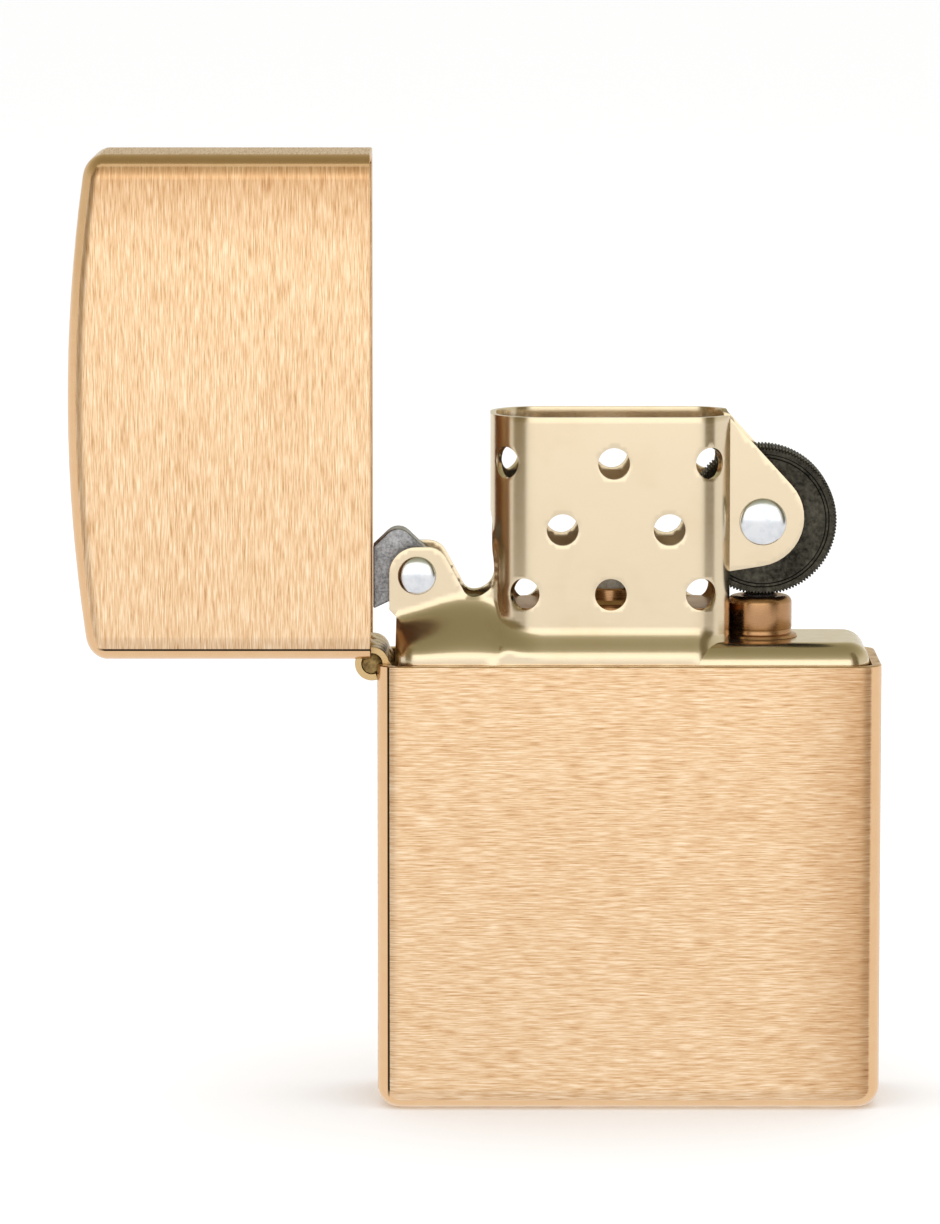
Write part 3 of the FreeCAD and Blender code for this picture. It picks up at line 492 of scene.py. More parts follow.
BASE_BRASS = brushed_brass("brushed_brass_base", 0, "X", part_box("case_bottom")[1][0])
LID_BRASS = brushed_brass("brushed_brass_lid", 2, "Z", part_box("lid_shell")[1][2])
HINGE_BRASS = polished_gold("hinge_brass", (0.62, 0.44, 0.22), (0.30, 0.19, 0.08), 0.3)
PIN_BRASS = speckled_steel("pin_brass", (0.10, 0.06, 0.02), (0.42, 0.29, 0.12), 0.4, 2600)
INSERT_GOLD = polished_gold("insert_gold", (0.78, 0.655, 0.475), (0.72, 0.58, 0.39), 0.21)
TUBE_BRONZE = polished_gold("tube_bronze", (0.50, 0.28, 0.14), (0.24, 0.12, 0.06), 0.28)
FLOOR_BRONZE = polished_gold("floor_bronze", (0.45, 0.25, 0.12), (0.22, 0.11, 0.05), 0.35)
NICKEL = bright_nickel("bright_nickel")
CAM_STEEL = speckled_steel("sintered_steel", (0.16, 0.16, 0.17), (0.50, 0.50, 0.52), 0.36, 5200)
WHEEL_STEEL = speckled_steel("wheel_steel", (0.012, 0.011, 0.009), (0.085, 0.078, 0.062), 0.42, 2400)
SPRING_STEEL = speckled_steel("spring_steel", (0.30, 0.33, 0.38), (0.52, 0.56, 0.62), 0.25, 1500)
SCREW_BRASS = polished_gold("screw_brass", (0.72, 0.52, 0.22), (0.42, 0.28, 0.10), 0.25)
FLINT_GREY = speckled_steel("flint_grey", (0.03, 0.028, 0.028), (0.14, 0.12, 0.12), 0.6, 3800)
WICK_COTTON = soft_fibre("wick_cotton", (0.80, 0.76, 0.66), (0.50, 0.44, 0.34), 2500)
FELT = soft_fibre("felt_fibre", (0.66, 0.63, 0.56), (0.42, 0.39, 0.33), 1800)
COTTON = soft_fibre("cotton_fibre", (0.88, 0.87, 0.83), (0.66, 0.64, 0.58), 1200)


def dress(obj, material, body, slot_name, *nodes):
    """Give a piece its material and body, and let it stand for CAD nodes; slot_name is not used."""
    obj.data.materials.clear()
    obj.data.materials.append(material)
    add_modifier(obj, "WEIGHTED_NORMAL", weight=80, keep_sharp=True)
    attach(obj, body)
    if nodes:
        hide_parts(*nodes)
    return obj


# ---- case and lid ----

WALL = 0.7
CORNER = 1.9
BASE_EDGE = 1.6
LID_EDGE = 1.5
CROWN = 1.5
SEAM = 0.05
HALF_X = (BASE_HIGH.x - BASE_LOW.x) / 2
HALF_Y = (BASE_HIGH.y - BASE_LOW.y) / 2
NOTCH_Y = 4.62
NOTCH_Z = 1.42


def cup_levels(height, edge):
    """Levels of an open cup that stands on z = 0, from its inner floor to its outer floor."""
    lip = 0.07
    inner = edge_levels(WALL, WALL, edge - WALL, 1)
    outer = edge_levels(0, 0, edge, 1)
    spokes = [HALF_Y - 0.05] + [HALF_Y * part for part in (0.8, 0.6, 0.4)]
    inside = [(inset, WALL) for inset in spokes] + list(reversed(inner))
    sides = [(WALL, height * part) for part in (0.2, 0.4, 0.6, 0.8)]
    rim = [(WALL, height - lip), (WALL - lip, height), (lip, height), (0, height - lip)]
    outside = [(0, height * part) for part in (0.8, 0.6, 0.4, 0.2)]
    under = outer + [(inset, 0) for inset in reversed(spokes)]
    return inside + sides + rim + outside + under


def cut_notch(shell, z_low, z_high):
    """Cut the hinge's notch out of the end wall."""
    cut_box(shell, (-HALF_X - 1, -NOTCH_Y, z_low), (-HALF_X + 2 * WALL, NOTCH_Y, z_high))


def build_case_bottom():
    """Deep-drawn base with its hinge notch."""
    height = BASE_HIGH.z - BASE_LOW.z
    levels = cup_levels(height, BASE_EDGE)
    shell = settle(loft_rings("case_shell", levels, HALF_X, HALF_Y, CORNER, (0, 0, 0), pinched=True))
    cut_notch(shell, height - NOTCH_Z, height + 1)
    return dress(shell, BASE_BRASS, "base", "brushed_brass", "case_bottom")


def build_lid():
    """Deep-drawn lid with a crowned top, modelled shut and swung open."""
    low, high = box_mm("lid_shell")
    height = high.x - low.x

    def crown(x, level):
        share = 1 - min(max(level / (height * 0.6), 0), 1)
        return CROWN * (x / HALF_X) ** 2 * share

    levels = cup_levels(height, LID_EDGE)
    shell = loft_rings("lid_cover", levels, HALF_X, HALF_Y, CORNER, (0, 0, 0), pinched=True)
    for vertex in shell.data.vertices:
        x, level = vertex.co.x / MM, vertex.co.z / MM
        vertex.co.z = (PIVOT.z + SEAM + height - level - crown(x, level)) * MM
    settle(shell)
    cut_notch(shell, PIVOT.z - 1, PIVOT.z + NOTCH_Z)
    swing_lid(shell)
    return dress(shell, LID_BRASS, "lid", "brushed_brass", "lid_shell")


# ---- hinge ----

HINGE_HALF = 4.45
KNUCKLES = 5
KNUCKLE_OUT = 1.28
KNUCKLE_IN = 0.79
LEAF_NEAR = 1.1
LEAF_FAR = 1.6
LEAF_HALF = 4.35
KNUCKLE_END = 4.42
CASE_LEAF_REACH = 7.0
LID_LEAF_REACH = 3.2


def knuckle_outline(direction):
    """Side outline of a knuckle curled from its leaf, relative to the pin."""
    outer = arc_points((0, 0), KNUCKLE_OUT, 12, 292, 30)
    inner = arc_points((0, 0), KNUCKLE_IN, 292, -8, 30)
    foot = -NOTCH_Z - 0.1
    outline = [(LEAF_FAR, foot), (LEAF_FAR, -0.45), (LEAF_FAR - 0.1, -0.1)]
    outline += outer + inner + [(LEAF_NEAR, -1.0), (LEAF_NEAR, foot)]
    return [(PIVOT.x + x, PIVOT.z + z * -direction) for x, z in outline]


def build_hinge_leaf(name, node, body, numbers, direction, reach):
    """Leaf plate inside a wall with its curled knuckles. direction is +1 for the lid."""
    pitch = 2 * HINGE_HALF / KNUCKLES
    gap = 0.06
    plate = [
        (LEAF_NEAR, NOTCH_Z, 0), (LEAF_FAR, NOTCH_Z, 0), (LEAF_FAR, reach, 0.15), (LEAF_NEAR, reach, 0)
    ]
    outline = rounded_outline([(PIVOT.x + x, PIVOT.z + z * direction, r) for x, z, r in plate], 4)
    pieces = [extrude_outline(name, outline, -LEAF_HALF, LEAF_HALF, 0.05)]
    for number in numbers:
        middle = (number - (KNUCKLES - 1) / 2) * pitch
        low = max(middle - (pitch - gap) / 2, -KNUCKLE_END)
        high = min(middle + (pitch - gap) / 2, KNUCKLE_END)
        outline = knuckle_outline(direction)
        pieces.append(extrude_outline("%s_knuckle_%d" % (name, number), outline, low, high, 0.04))
    for piece in pieces:
        if direction > 0:
            swing_lid(piece)
        dress(piece, HINGE_BRASS, body, "hinge_brass", node)


def build_hinge_pin():
    """Pin with staked, crinkled ends."""
    half = HINGE_HALF + 0.1
    end = [(0.02, half), (0.35, half - 0.01), (0.62, half - 0.05), (0.74, half - 0.16), (0.745, half * 0.5)]
    profile = [(radius, -along) for radius, along in end] + list(reversed(end))

    def stake(turn, along):
        if abs(along) < 4:
            return 0
        return 0.03 * noise.noise(Vector((3 * math.cos(turn), 3 * math.sin(turn), along * 9)))

    pin = lathe("hinge_pin_staked", profile, PIVOT, "Y", 48, stake)
    return dress(pin, PIN_BRASS, "base", "hinge_brass", "hinge_pin")


# ---- insert top: one pressed sheet, worked out flat and then folded ----
# u runs along the flat sheet from the left end of the straight front; z is height.

HALF_SCREEN = 4.85
LEFT_BEND = 4.0
RIGHT_BEND = 3.2
FLAT_START = -6.5
FLAT_STOP = 4.6
RIGHT_TURN = math.radians(70)
EAR_Y = 2.3 + SHEET
WEB_BEND = 1.0
SCREEN_TOP = TOP_HIGH.z
SHOULDER = 35.5
SHOULDER_EDGE = 1.6
SHEET_FOOT = 33.25
SKIRT_LEVEL = 34.5
FOLD_LOW = 41.0
FOLD_HIGH = 44.5
EAR_FOOT = 40.75
CAM_FOOT = 39.0
CAM_END_FOOT = 37.6
FRONT_FOOT = 36.5
RIGHT_FOOT = 35.95
RIGHT_REACH = 0.35

LEFT_TURN = math.acos((EAR_Y - (HALF_SCREEN - LEFT_BEND) + WEB_BEND) / (LEFT_BEND + WEB_BEND))
RIGHT_U = FLAT_STOP - FLAT_START
CREASE_U = RIGHT_U + RIGHT_BEND * RIGHT_TURN
CREASE_X = FLAT_STOP + RIGHT_BEND * math.sin(RIGHT_TURN)
MERGE_U = -LEFT_BEND * LEFT_TURN
WEB_U = MERGE_U - WEB_BEND * LEFT_TURN
WEB_X = FLAT_START - (LEFT_BEND + WEB_BEND) * math.sin(LEFT_TURN)
END_U = -LEFT_BEND * math.pi / 2 - (HALF_SCREEN - LEFT_BEND)


def smooth_step(value, low, high):
    """Smooth change from 0 to 1 between low and high."""
    part = min(max((value - low) / (high - low), 0), 1)
    return part * part * (3 - 2 * part)


def fold_round(u):
    """Plan point and outward direction where the left end is closed all round."""
    if u > -LEFT_BEND * math.pi / 2:
        turn = -u / LEFT_BEND
        out = Vector((-math.sin(turn), -math.cos(turn)))
        return Vector((FLAT_START, LEFT_BEND - HALF_SCREEN)) + out * LEFT_BEND, out
    back = -u - LEFT_BEND * math.pi / 2
    return Vector((FLAT_START - LEFT_BEND, LEFT_BEND - HALF_SCREEN + back)), Vector((-1, 0))


def fold_to_ear(u):
    """Plan point and outward direction where the sheet bends back out to the cam's ear."""
    if u > MERGE_U:
        return fold_round(u)
    if u > WEB_U:
        turn = (u - WEB_U) / WEB_BEND
        out = Vector((-math.sin(turn), -math.cos(turn)))
        return Vector((WEB_X, -EAR_Y - WEB_BEND)) - out * WEB_BEND, out
    return Vector((WEB_X + u - WEB_U, -EAR_Y)), Vector((0, -1))


def fold(u, z):
    """Plan point and outward direction of the folded front half at flat position u, height z."""
    if u > CREASE_U:
        return Vector((CREASE_X + u - CREASE_U, -EAR_Y)), Vector((0, -1))
    if u > RIGHT_U:
        turn = (u - RIGHT_U) / RIGHT_BEND
        out = Vector((math.sin(turn), -math.cos(turn)))
        return Vector((FLAT_STOP, RIGHT_BEND - HALF_SCREEN)) + out * RIGHT_BEND, out
    if u >= 0:
        return Vector((FLAT_START + u, -HALF_SCREEN)), Vector((0, -1))
    low, low_out = fold_to_ear(u)
    high, high_out = fold_round(u)
    share = smooth_step(z, FOLD_LOW, FOLD_HIGH) if u > END_U - 0.01 else 0
    return low.lerp(high, share), low_out.lerp(high_out, share).normalized()


def foot_of_wall(u):
    """Height where the skirt leaves the wall: high over the cam's slope, low at the right corner."""
    slope = CAM_FOOT + (CAM_END_FOOT - CAM_FOOT) * smooth_step(-u, 6.5, 12)
    front = FRONT_FOOT + (slope - FRONT_FOOT) * smooth_step(-u, 1.0, 6.0)
    return front + (RIGHT_FOOT - FRONT_FOOT) * smooth_step(u, RIGHT_U + 0.4, RIGHT_U + 2.9)


def foot_of_skirt(u):
    """Lowest height of the sheet, which ends on the shoulder plate at the right corner."""
    return SHEET_FOOT + (SHOULDER - 0.15 - SHEET_FOOT) * smooth_step(u, RIGHT_U + 0.7, RIGHT_U + 2.9)


def skirt_reach(u, x):
    """How far the skirt flares out at its foot, following the tank's rounded left corner."""
    tank_half = (TANK_HIGH.y - TANK_LOW.y) / 2
    corner_x = TANK_LOW.x + CORNER
    inset = max(corner_x - x, 0)
    tank_y = tank_half - CORNER + math.sqrt(max(CORNER ** 2 - inset ** 2, 0))
    wall_y = EAR_Y + (HALF_SCREEN - EAR_Y) * smooth_step(u, -5.2, 0.0)
    reach = tank_y - wall_y
    return reach + (RIGHT_REACH - reach) * smooth_step(u, RIGHT_U + 0.2, RIGHT_U + 2.4)


def tank_edge(x, z):
    """Depth of the tank's outside at a height, with its rounded top edge and left corner."""
    rise = min(max(z - (SHOULDER - SHOULDER_EDGE), 0), SHOULDER_EDGE)
    round_in = SHOULDER_EDGE - math.sqrt(SHOULDER_EDGE ** 2 - rise ** 2)
    corner = max(CORNER - round_in, 0.05)
    left = TANK_LOW.x + round_in
    inset = min(max(left + corner - x, 0), corner)
    return TANK_HIGH.y - round_in - corner + math.sqrt(corner ** 2 - inset ** 2)


def place_on_sheet(u, z):
    """Fold a flat point of the sheet into space."""
    flat, out = fold(u, z)
    top = foot_of_wall(u)
    if z < top and u < CREASE_U:
        flare = smooth_step(top - z, 0, top - SKIRT_LEVEL)
        front = Vector((0, -1))
        lean = out.lerp(front, smooth_step(-u, 0, 3.0)) if u < 0 else out
        flat = flat + lean.normalized() * skirt_reach(u, flat.x) * flare
        flat.y = max(flat.y, -TANK_HIGH.y)
        cover = 1 - smooth_step(u, RIGHT_U + 0.2, RIGHT_U + 1.2)
        edge = tank_edge(flat.x, z)
        if z < SHOULDER and edge > -flat.y:
            flat.y -= (edge + flat.y) * cover
    return (flat.x, flat.y, z)


def sheet_outline():
    """Flat outline of the front half of the pressed sheet."""
    ear_u = WEB_U + CAM.x - WEB_X
    left = ear_u - 2.1
    hem_u = WEB_U + TANK_LOW.x + 0.04 - WEB_X
    ear_shift = CREASE_U - CREASE_X
    ear_top = CAM.z + 2.15
    wheel_ear = [(CREASE_U, EAR_FOOT, 0.5), (16.88 + ear_shift, 42.23, 3.7)]
    wheel_ear += [(CREASE_U - 0.2, SCREEN_TOP, 0.6)]
    closed_end = [(END_U, SCREEN_TOP, 0), (END_U, 45.4, 0)]
    cut_out = [(-5.35, 45.3, 1.6), (-4.45, 41.6, 3.0), (-4.25, 38.8, 1.6), (ear_u + 3.75, 38.8, 0.9)]
    cam_ear = [(ear_u + 1.75, ear_top, 1.6), (left, ear_top, 2.05), (left, 37.8, 0.2), (hem_u, 37.35, 0.2)]
    corners = wheel_ear + closed_end + cut_out + cam_ear
    hem = []
    steps = 90
    for step in range(steps + 1):
        u = hem_u + (CREASE_U - hem_u) * step / steps
        hem.append((u, foot_of_skirt(u)))
    return fine_outline(hem + rounded_outline(corners, 14), 0.3)


VENT_RADIUS = 1.2
VENT_STEPS = 48
SLIVER = 0.0004
GRID_PITCH = 0.34
CREASE_LOW = 41.2
CREASE_PITCH = 0.3
CREASE_COUNT = 37
VENTS = (
    (-3.17, 49.1), (5.3, 49.1), (12.66, 49.1),
    (1.44, 44.1), (9.5, 44.1),
    (-1.5, 39.2), (5.08, 39.2), (11.93, 39.2),
)


def inside_outline(point, outline):
    """True where a point is inside a closed outline."""
    x, y = point
    inside = False
    for index, (x0, y0) in enumerate(outline):
        x1, y1 = outline[index - 1]
        if (y0 > y) != (y1 > y) and x < (x1 - x0) * (y - y0) / (y1 - y0) + x0:
            inside = not inside
    return inside


def near_outline(point, outline, gap):
    """True where a point is closer than gap to an outline's points."""
    return any(abs(point[0] - x) < gap and abs(point[1] - y) < gap for x, y in outline)


def flat_sheet():
    """Triangles of the flat front half, with its vents, as points and faces."""
    outline = sheet_outline()
    loops = [outline]
    for vent in VENTS:
        loops.append(arc_points(vent, VENT_RADIUS, 0, 360 - 360 / VENT_STEPS, VENT_STEPS - 1))
    points, edges = [], []
    for loop in loops:
        start = len(points)
        points += loop
        edges += [(start + i, start + (i + 1) % len(loop)) for i in range(len(loop))]
    low_u, high_u = min(p[0] for p in outline), max(p[0] for p in outline)
    columns = int((high_u - low_u) / GRID_PITCH)
    rows = int((SCREEN_TOP - SHEET_FOOT) / GRID_PITCH)
    start = len(points)
    points += [(CREASE_U, CREASE_LOW + CREASE_PITCH * step) for step in range(CREASE_COUNT)]
    edges += [(start + i, start + i + 1) for i in range(CREASE_COUNT - 1)]
    for row in range(rows):
        for column in range(columns):
            across = low_u + (column + 0.5 + 0.5 * (row % 2)) * GRID_PITCH
            spot = (across, SHEET_FOOT + (row + 0.5) * GRID_PITCH)
            if near_outline(spot, outline, 0.16) or abs(spot[0] - CREASE_U) < 0.15:
                continue
            if any(math.dist(spot, vent) < VENT_RADIUS + 0.14 for vent in VENTS):
                continue
            if inside_outline(spot, outline):
                points.append(spot)
    made = delaunay_2d_cdt([Vector(point) for point in points], edges, [], 0, 1e-5)
    flat, faces = made[0], []
    for face in made[2]:
        middle = sum((flat[i] for i in face), Vector((0, 0))) / 3
        in_vent = any(math.dist(middle, vent) < VENT_RADIUS * 0.998 for vent in VENTS)
        sides = flat[face[1]] - flat[face[0]], flat[face[2]] - flat[face[0]]
        sliver = abs(sides[0].cross(sides[1])) < SLIVER
        if not in_vent and not sliver and inside_outline(middle, outline):
            faces.append(tuple(face))
    return flat, faces


def build_screen():
    """Windscreen, ears and skirt: the front half folded, then mirrored."""
    flat, faces = flat_sheet()
    front = [place_on_sheet(point.x, point.y) for point in flat]
    back = [(x, -y, z) for x, y, z in front]
    count = len(front)
    points = front + back
    faces = faces + [tuple(count + i for i in reversed(face)) for face in faces]
    screen = add_mesh("windscreen", points, faces)
    work = bmesh.new()
    work.from_mesh(screen.data)
    bmesh.ops.remove_doubles(work, verts=work.verts, dist=0.00002)
    work.to_mesh(screen.data)
    work.free()
    add_modifier(screen, "SOLIDIFY", thickness=SHEET * MM, offset=-1)
    soften_edges(screen, 0.09, 48)
    settle(screen, 38)
    return dress(screen, INSERT_GOLD, "insert", "insert_gold", "insert_top")


def build_shoulder():
    """Top of the tank with rounded edges, under the windscreen and the wheel."""
    hair = 0.03
    half_x = (TANK_HIGH.x - TANK_LOW.x) / 2 - hair
    half_y = (TANK_HIGH.y - TANK_LOW.y) / 2 - hair
    centre = ((TANK_HIGH.x + TANK_LOW.x) / 2, 0, 0)
    foot = TOP_LOW.z
    outside = [(0, foot)] + edge_levels(0, SHOULDER, SHOULDER_EDGE, -1)
    outside += [(inset, SHOULDER) for inset in (2.4, 3.2, 4.2, half_y - 0.05)]
    inside = [(inset, SHOULDER - SHEET) for inset in (half_y - 0.05, 3.5)]
    inside += list(reversed(edge_levels(SHEET, SHOULDER - SHEET, 1.25, -1))) + [(SHEET, foot)]
    levels = outside + inside
    shoulder = loft_rings("tank_shoulder", levels, half_x, half_y, CORNER, centre)
    work = bmesh.new()
    work.from_mesh(shoulder.data)
    caps = [face for face in work.faces if len(face.verts) > 8]
    bmesh.ops.delete(work, geom=caps, context="FACES_ONLY")
    ends = [edge for edge in work.edges if len(edge.link_faces) == 1]
    rims = [edge for edge in ends if edge.verts[0].co.z < (foot + 0.1) * MM]
    bmesh.ops.bridge_loops(work, edges=rims)
    work.to_mesh(shoulder.data)
    work.free()
    settle(shoulder)
    return dress(shoulder, INSERT_GOLD, "insert", "insert_gold", "insert_top")


# ---- insert's small parts ----

RIVET_DOME = 0.5
RIVET_RIM = 0.14


def build_rivet(name, node, place, head):
    """Domed rivet head on each side and its shank."""
    steps = 12
    side = []
    for step in range(steps + 1):
        turn = math.radians(90 * step / steps)
        proud = RIVET_RIM + (RIVET_DOME - RIVET_RIM) * math.cos(turn)
        side.append((max(head * math.sin(turn), 0.01), proud))
    side += [(head, 0.1), (head - 0.06, 0), (head * 0.5, 0), (head * 0.5, -0.1)]
    profile = [(radius, -EAR_Y - proud) for radius, proud in side]
    profile += [(radius, EAR_Y + proud) for radius, proud in reversed(side)]
    rivet = lathe(name, profile, (place.x, 0, place.z), "Y", 64)
    return dress(rivet, NICKEL, "insert", "nickel", node)


def build_cam():
    """Cam with its boss, nose and speckled sides."""
    corners = [
        (-3.33, 2.05, 0.1), (-3.33, -2.7, 0.1), (-2.1, -2.12, 0.3), (-1.2, -1.95, 0.5), (0.9, -1.95, 1.1),
        (2.2, 0.2, 1.1), (0.55, 1.95, 0.5), (-1.44, 3.86, 1.15),
    ]
    outline = rounded_outline([(CAM.x + x, CAM.z + z, radius) for x, z, radius in corners], 6)
    cam = extrude_outline("cam_block", outline, -1.2, 1.2, 0.12)
    return dress(cam, CAM_STEEL, "cam", "sintered_steel", "cam")


WHEEL_RADIUS = 5.65
WHEEL_HALF = 2.1
RIM_RADIUS = 5.5
TEETH = 136


def knurl(turn, along):
    """Depth of the knurl on the wheel's rim: rows of teeth crossed by shallow grooves."""
    tooth = abs(math.sin(TEETH * turn / 2 + 0.25 * math.sin(along * 2)))
    groove = abs(math.sin(along * math.pi / 0.42))
    return -0.22 * (1 - tooth ** 0.8) - 0.07 * (1 - groove)


def build_wheel():
    """Knurled striking wheel with stepped sides."""
    steps = 8 * TEETH
    side = [
        (1.0, -1.85), (2.2, -1.85), (2.3, -2.0), (4.75, -2.02), (4.85, -1.92), (5.0, -1.92), (5.08, -2.06),
    ]
    rim = [(RIM_RADIUS, -WHEEL_HALF)]
    rows = 18
    for row in range(rows + 1):
        along = -WHEEL_HALF + 0.12 + (2 * WHEEL_HALF - 0.24) * row / rows
        rim.append((WHEEL_RADIUS, along))
    rim.append((RIM_RADIUS, WHEEL_HALF))
    profile = side + rim + [(radius, -along) for radius, along in reversed(side)]

    points = []
    for radius, along in profile:
        for step in range(steps):
            turn = 2 * math.pi * step / steps
            reach = radius + (knurl(turn, along) if radius > RIM_RADIUS else 0)
            if radius == RIM_RADIUS:
                reach += 0.8 * knurl(turn, 0.21)
            points.append((WHEEL.x + reach * math.cos(turn), along, WHEEL.z + reach * math.sin(turn)))
    faces = grid_faces(len(profile), steps)
    last = (len(profile) - 1) * steps
    faces += [(last + i, last + (i + 1) % steps, (i + 1) % steps, i) for i in range(steps)]
    wheel = settle(add_mesh("striking_wheel", points, faces), 30)
    return dress(wheel, WHEEL_STEEL, "wheel", "wheel_steel", "flint_wheel")


def build_flint_tube():
    """Flint tube with a rounded collar, a dark lip and a thin flange at its foot."""
    low, high = box_mm("flint_tube")
    top, radius, bore = high.z, 2.44, 1.32
    profile = [(bore, low.z), (bore, top - 0.2), (bore + 0.1, top - 0.05), (bore + 0.3, top)]
    profile += [(radius - 0.55, top)]
    profile += [(radius - 0.55 + x, top - 0.55 + z) for x, z in arc_points((0, 0), 0.55, 80, 0, 8)]
    profile += [(radius, SHOULDER + 0.75), (radius - 0.05, SHOULDER + 0.62), (radius, SHOULDER + 0.5)]
    profile += [(radius, SHOULDER + 0.3), (radius + 0.35, SHOULDER + 0.2), (radius + 0.42, SHOULDER + 0.02)]
    profile += [(1.75, SHOULDER - 0.02), (1.75, low.z), (bore, low.z)]
    tube = lathe("flint_tube_turned", profile, (TUBE.x, 0, 0), "Z", 72)
    return dress(tube, TUBE_BRONZE, "insert", "tube_bronze", "flint_tube")


def build_flint_spring():
    """Coil spring under the flint, taken from the CAD node's mesh."""
    coil = add_mesh("flint_spring_coil", [], [])
    coil.data = frame["nodes"]["flint_spring"].data.copy()
    settle(coil, 60)
    dress(coil, SPRING_STEEL, "insert", "spring_steel", "flint_spring")
    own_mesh(coil)
    return coil


def build_wick():
    """Braided wick with a frayed top."""
    low, high = box_mm("wick")
    middle = (low + high) / 2
    radius = (high.x - low.x) / 2 - 0.06
    rows = 260

    def braid(turn, along):
        over = math.sin(6 * turn + along * 3.4)
        under = math.sin(6 * turn - along * 3.4)
        fuzz = noise.noise(Vector((4 * math.cos(turn), 4 * math.sin(turn), along * 3)))
        return 0.07 * max(over, under) + 0.03 * fuzz - 0.04

    profile = [(0.02, low.z), (radius * 0.9, low.z)]
    profile += [(radius, low.z + 0.1 + (high.z - low.z - 0.5) * row / rows) for row in range(rows + 1)]
    profile += [(radius * 0.92, high.z - 0.2), (radius * 0.6, high.z - 0.05), (0.02, high.z - 0.1)]
    wick = lathe("wick_braid", profile, (middle.x, 0, 0), "Z", 72, braid)
    return dress(wick, WICK_COTTON, "insert", "wick", "wick")


def build_felt_pad():
    """Felt pad with rounded edges and the screw's hole."""
    low, high = box_mm("felt_pad")
    centre = (low + high) / 2
    half_x, half_y = (high.x - low.x) / 2, (high.y - low.y) / 2
    round_edge = 0.4
    spokes = [half_y * 0.3, half_y * 0.6, half_y - 0.05]
    levels = [(inset, low.z) for inset in reversed(spokes)]
    levels += list(reversed(edge_levels(0, low.z, round_edge, 1, 5)))
    levels += edge_levels(0, high.z, round_edge, -1, 5)
    levels += [(inset, high.z) for inset in spokes]
    pad = loft_rings("felt_pad_pressed", levels, half_x, half_y, 1.45, (centre.x, 0, 0))
    settle(pad, 60)
    hole = 2.42
    bottom, top = low.z - 1, high.z + 1
    profile = [(0.01, bottom), (hole, bottom), (hole, top), (0.01, top)]
    cut_away(pad, lathe("cutter", profile, (TUBE.x, 0, 0), "Z", 48), 60)
    return dress(pad, FELT, "insert", "felt", "felt_pad")


def build_cotton():
    """Cotton balls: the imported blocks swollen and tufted."""
    source = frame["nodes"]["cotton_packing"]
    balls = add_mesh("cotton_balls", [], [])
    balls.data = source.data.copy()
    work = bmesh.new()
    work.from_mesh(balls.data)
    bmesh.ops.remove_doubles(work, verts=work.verts, dist=1e-6)
    for vertex in work.verts:
        tuft = noise.fractal(vertex.co * 900, 0.6, 2.0, 4)
        vertex.co += vertex.normal * (-0.15 + 0.12 * tuft) * MM
    work.to_mesh(balls.data)
    work.free()
    settle(balls, 70)
    return dress(balls, COTTON, "insert", "cotton", "cotton_packing")


def build_floor_plate():
    """Plate at the windscreen's foot with a rolled sleeve round the wick."""
    low, high = box_mm("chimney_floor")
    outline = []
    inset = SHEET + 0.03
    plate_top = low.z + 0.5
    steps = 60
    for step in range(steps + 1):
        flat, out = fold(END_U + (CREASE_U - END_U) * step / steps, SCREEN_TOP)
        outline.append(tuple(flat - out * inset))
    ring = outline + [(x, -y) for x, y in reversed(outline[1:])]
    count = len(ring)
    points = [(x, y, z) for z in (low.z, plate_top) for x, y in ring]
    faces = [(i, (i + 1) % count, count + (i + 1) % count, count + i) for i in range(count)]
    faces += [tuple(range(count)), tuple(range(count, 2 * count))]
    plate = settle(add_mesh("windscreen_floor", points, faces))
    dress(plate, FLOOR_BRONZE, "insert", "tube_bronze", "chimney_floor")
    wick_low, wick_high = box_mm("wick")
    bore = (wick_high.x - wick_low.x) / 2 + 0.02
    top = high.z
    outer = bore + 0.45
    profile = [(bore, plate_top - 0.4), (bore, top - 0.1), (bore + 0.12, top), (outer - 0.09, top)]
    profile += [(outer, top - 0.12), (outer, plate_top + 0.3), (outer + 0.3, plate_top + 0.01)]
    profile += [(bore, plate_top - 0.4)]
    sleeve = lathe("wick_sleeve", profile, ((wick_low.x + wick_high.x) / 2, 0, 0), "Z", 48)
    return dress(sleeve, TUBE_BRONZE, "insert", "tube_bronze", "chimney_floor")


def paint_carried_nodes():
    """Materials for the CAD nodes whose own shape is shown."""
    materials = {
        "fuel_tank": INSERT_GOLD, "cam_spring": SPRING_STEEL, "cam_spring_rivet": NICKEL,
        "flint": FLINT_GREY, "flint_spring_tip": SCREW_BRASS, "flint_screw": SCREW_BRASS,
    }
    for name, material in materials.items():
        for slot in frame["nodes"][name].material_slots:
            slot.material = material


# ---- stage ----

def plain_material(name, color, roughness):
    """Plain stage material."""
    material = bpy.data.materials.new(name)
    material.use_nodes = True
    shader = material.node_tree.nodes["Principled BSDF"]
    shader.inputs["Base Color"].default_value = (*color, 1)
    shader.inputs["Roughness"].default_value = roughness
    shader.inputs["Specular IOR Level"].default_value = 0.1
    return material


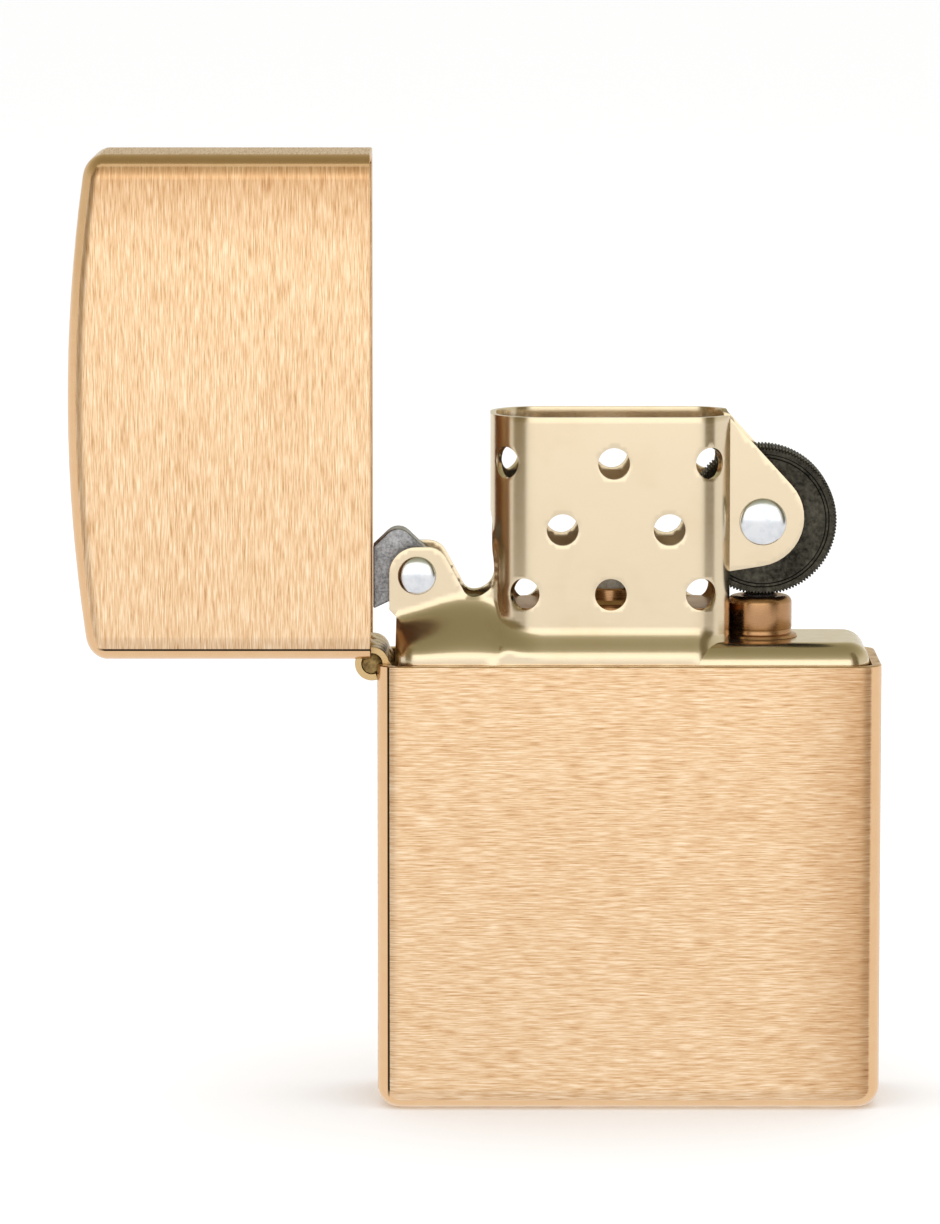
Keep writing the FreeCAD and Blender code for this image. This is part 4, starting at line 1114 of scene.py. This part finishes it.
def build_floor():
    """Plain pale floor that the lighter stands on."""
    bpy.ops.mesh.primitive_plane_add(size=8, location=(0, 0, -0.00002))
    floor = bpy.context.object
    floor.name = "floor"
    material = plain_material("floor_white", (0.99, 0.99, 0.99), 0.9)
    nodes, links = material.node_tree.nodes, material.node_tree.links
    shader = nodes["Principled BSDF"]
    path = nodes.new("ShaderNodeLightPath")
    tone = nodes.new("ShaderNodeMixRGB")
    tone.inputs["Color1"].default_value = (0.99, 0.99, 0.99, 1)
    tone.inputs["Color2"].default_value = (0, 0, 0, 1)
    links.new(path.outputs["Is Glossy Ray"], tone.inputs["Fac"])
    links.new(tone.outputs["Color"], shader.inputs["Base Color"])
    shader.inputs["Emission Color"].default_value = (0.97, 0.96, 0.95, 1)
    links.new(path.outputs["Is Glossy Ray"], shader.inputs["Emission Strength"])
    floor.data.materials.append(material)


def build_world():
    """White surroundings; reflections see a pale band low down under a darker sky."""
    world = bpy.data.worlds.new("studio")
    bpy.context.scene.world = world
    world.use_nodes = True
    nodes, links = world.node_tree.nodes, world.node_tree.links
    back = nodes["Background"]
    path = nodes.new("ShaderNodeLightPath")
    mix = nodes.new("ShaderNodeMixRGB")
    mix.inputs["Color1"].default_value = (1.02, 1.02, 1.02, 1)
    direction = nodes.new("ShaderNodeTexCoord")
    split = nodes.new("ShaderNodeSeparateXYZ")
    sky = nodes.new("ShaderNodeValToRGB")
    levels = ((0.0, 0.76), (0.25, 0.72), (0.5, 0.50), (0.8, 0.36), (1.0, 0.3))
    while len(sky.color_ramp.elements) < len(levels):
        sky.color_ramp.elements.new(0.5)
    for element, (height, level) in zip(sky.color_ramp.elements, levels):
        element.position = height
        warmth = 1 - level
        element.color = (level, level * (1 - 0.10 * warmth), level * (1 - 0.65 * warmth), 1)
    links.new(direction.outputs["Generated"], split.inputs["Vector"])
    links.new(split.outputs["Z"], sky.inputs["Fac"])
    links.new(sky.outputs["Color"], mix.inputs["Color2"])
    links.new(path.outputs["Is Glossy Ray"], mix.inputs["Fac"])
    links.new(mix.outputs["Color"], back.inputs["Color"])
    back.inputs["Strength"].default_value = 1.0


def area_light(name, place, target, width, height, power):
    """Soft rectangular light aimed at a point."""
    data = bpy.data.lights.new(name, "AREA")
    data.shape = "RECTANGLE"
    data.size = width
    data.size_y = height
    data.energy = power
    lamp = bpy.data.objects.new(name, data)
    bpy.context.scene.collection.objects.link(lamp)
    lamp.location = place
    lamp.rotation_euler = (Vector(target) - Vector(place)).to_track_quat("-Z", "Y").to_euler()
    return lamp


def dark_card(name, azimuth, width, level):
    """Dark flag beside the front light, seen only in reflections."""
    turn = math.radians(azimuth)
    reach, height = 0.32, 0.5
    along = Vector((math.cos(turn), math.sin(turn), 0)) * width / 2
    middle = Vector((math.sin(turn) * reach, -math.cos(turn) * reach, 0))
    top = Vector((0, 0, height))
    corners = [middle - along, middle + along, middle + along + top, middle - along + top]
    card = add_mesh(name, [corner / MM for corner in corners], [(0, 1, 2, 3)])
    card.data.materials.append(plain_material(name, (level, level * 0.8, level * 0.4), 1.0))
    card.visible_camera = False
    card.visible_diffuse = False
    card.visible_shadow = False


def build_lights():
    """Front and top soft boxes, one more that lights only the brass, and a dark flag on each side."""
    middle = (-0.012, 0, 0.036)
    area_light("front_box", (-0.02, -0.9, 0.07), middle, 1.1, 0.75, 2.1)
    top_box = area_light("top_box", (0.0, 0.0, 0.8), middle, 0.7, 0.7, 1.2)
    top_box.visible_glossy = False
    case_box = area_light("case_box", (-0.02, -0.62, 0.62), middle, 1.3, 1.1, 2.6)
    brass = bpy.data.collections.new("brass_pieces")
    for name in ("case_shell", "lid_cover"):
        brass.objects.link(bpy.data.objects[name])
    case_box.light_linking.receiver_collection = brass
    dark_card("left_flag", -54, 0.17, 0.2)
    dark_card("right_flag", 54, 0.17, 0.16)


def build_camera():
    """Long lens, a little above the lighter, facing its front."""
    data = bpy.data.cameras.new("camera")
    camera = bpy.data.objects.new("camera", data)
    bpy.context.scene.collection.objects.link(camera)
    target = Vector((-0.01204, -0.00635, 0.03808))
    distance = 0.5
    tilt = math.radians(7.0)
    camera.location = target + distance * Vector((0, -math.cos(tilt), math.sin(tilt)))
    camera.rotation_euler = (target - camera.location).to_track_quat("-Z", "Y").to_euler()
    data.sensor_fit = "VERTICAL"
    data.sensor_height = 36
    data.lens = 36 * distance / 0.092
    data.clip_start = 0.01
    bpy.context.scene.camera = camera


build_case_bottom()
build_lid()
build_hinge_leaf("case_leaf", "case_hinge_leaf", "base", (0, 2, 4), -1, CASE_LEAF_REACH)
build_hinge_leaf("lid_leaf", "lid_hinge_leaf", "lid", (1, 3), 1, LID_LEAF_REACH)
build_hinge_pin()
build_screen()
build_shoulder()
build_floor_plate()
build_rivet("cam_rivet_domed", "cam_rivet", CAM, 1.45)
build_rivet("wheel_rivet_domed", "wheel_rivet", WHEEL, 1.78)
build_cam()
build_wheel()
build_flint_tube()
build_flint_spring()
build_wick()
build_felt_pad()
build_cotton()
paint_carried_nodes()

build_world()
build_floor()
build_lights()
build_camera()
bpy.context.scene.view_settings.view_transform = "Standard"
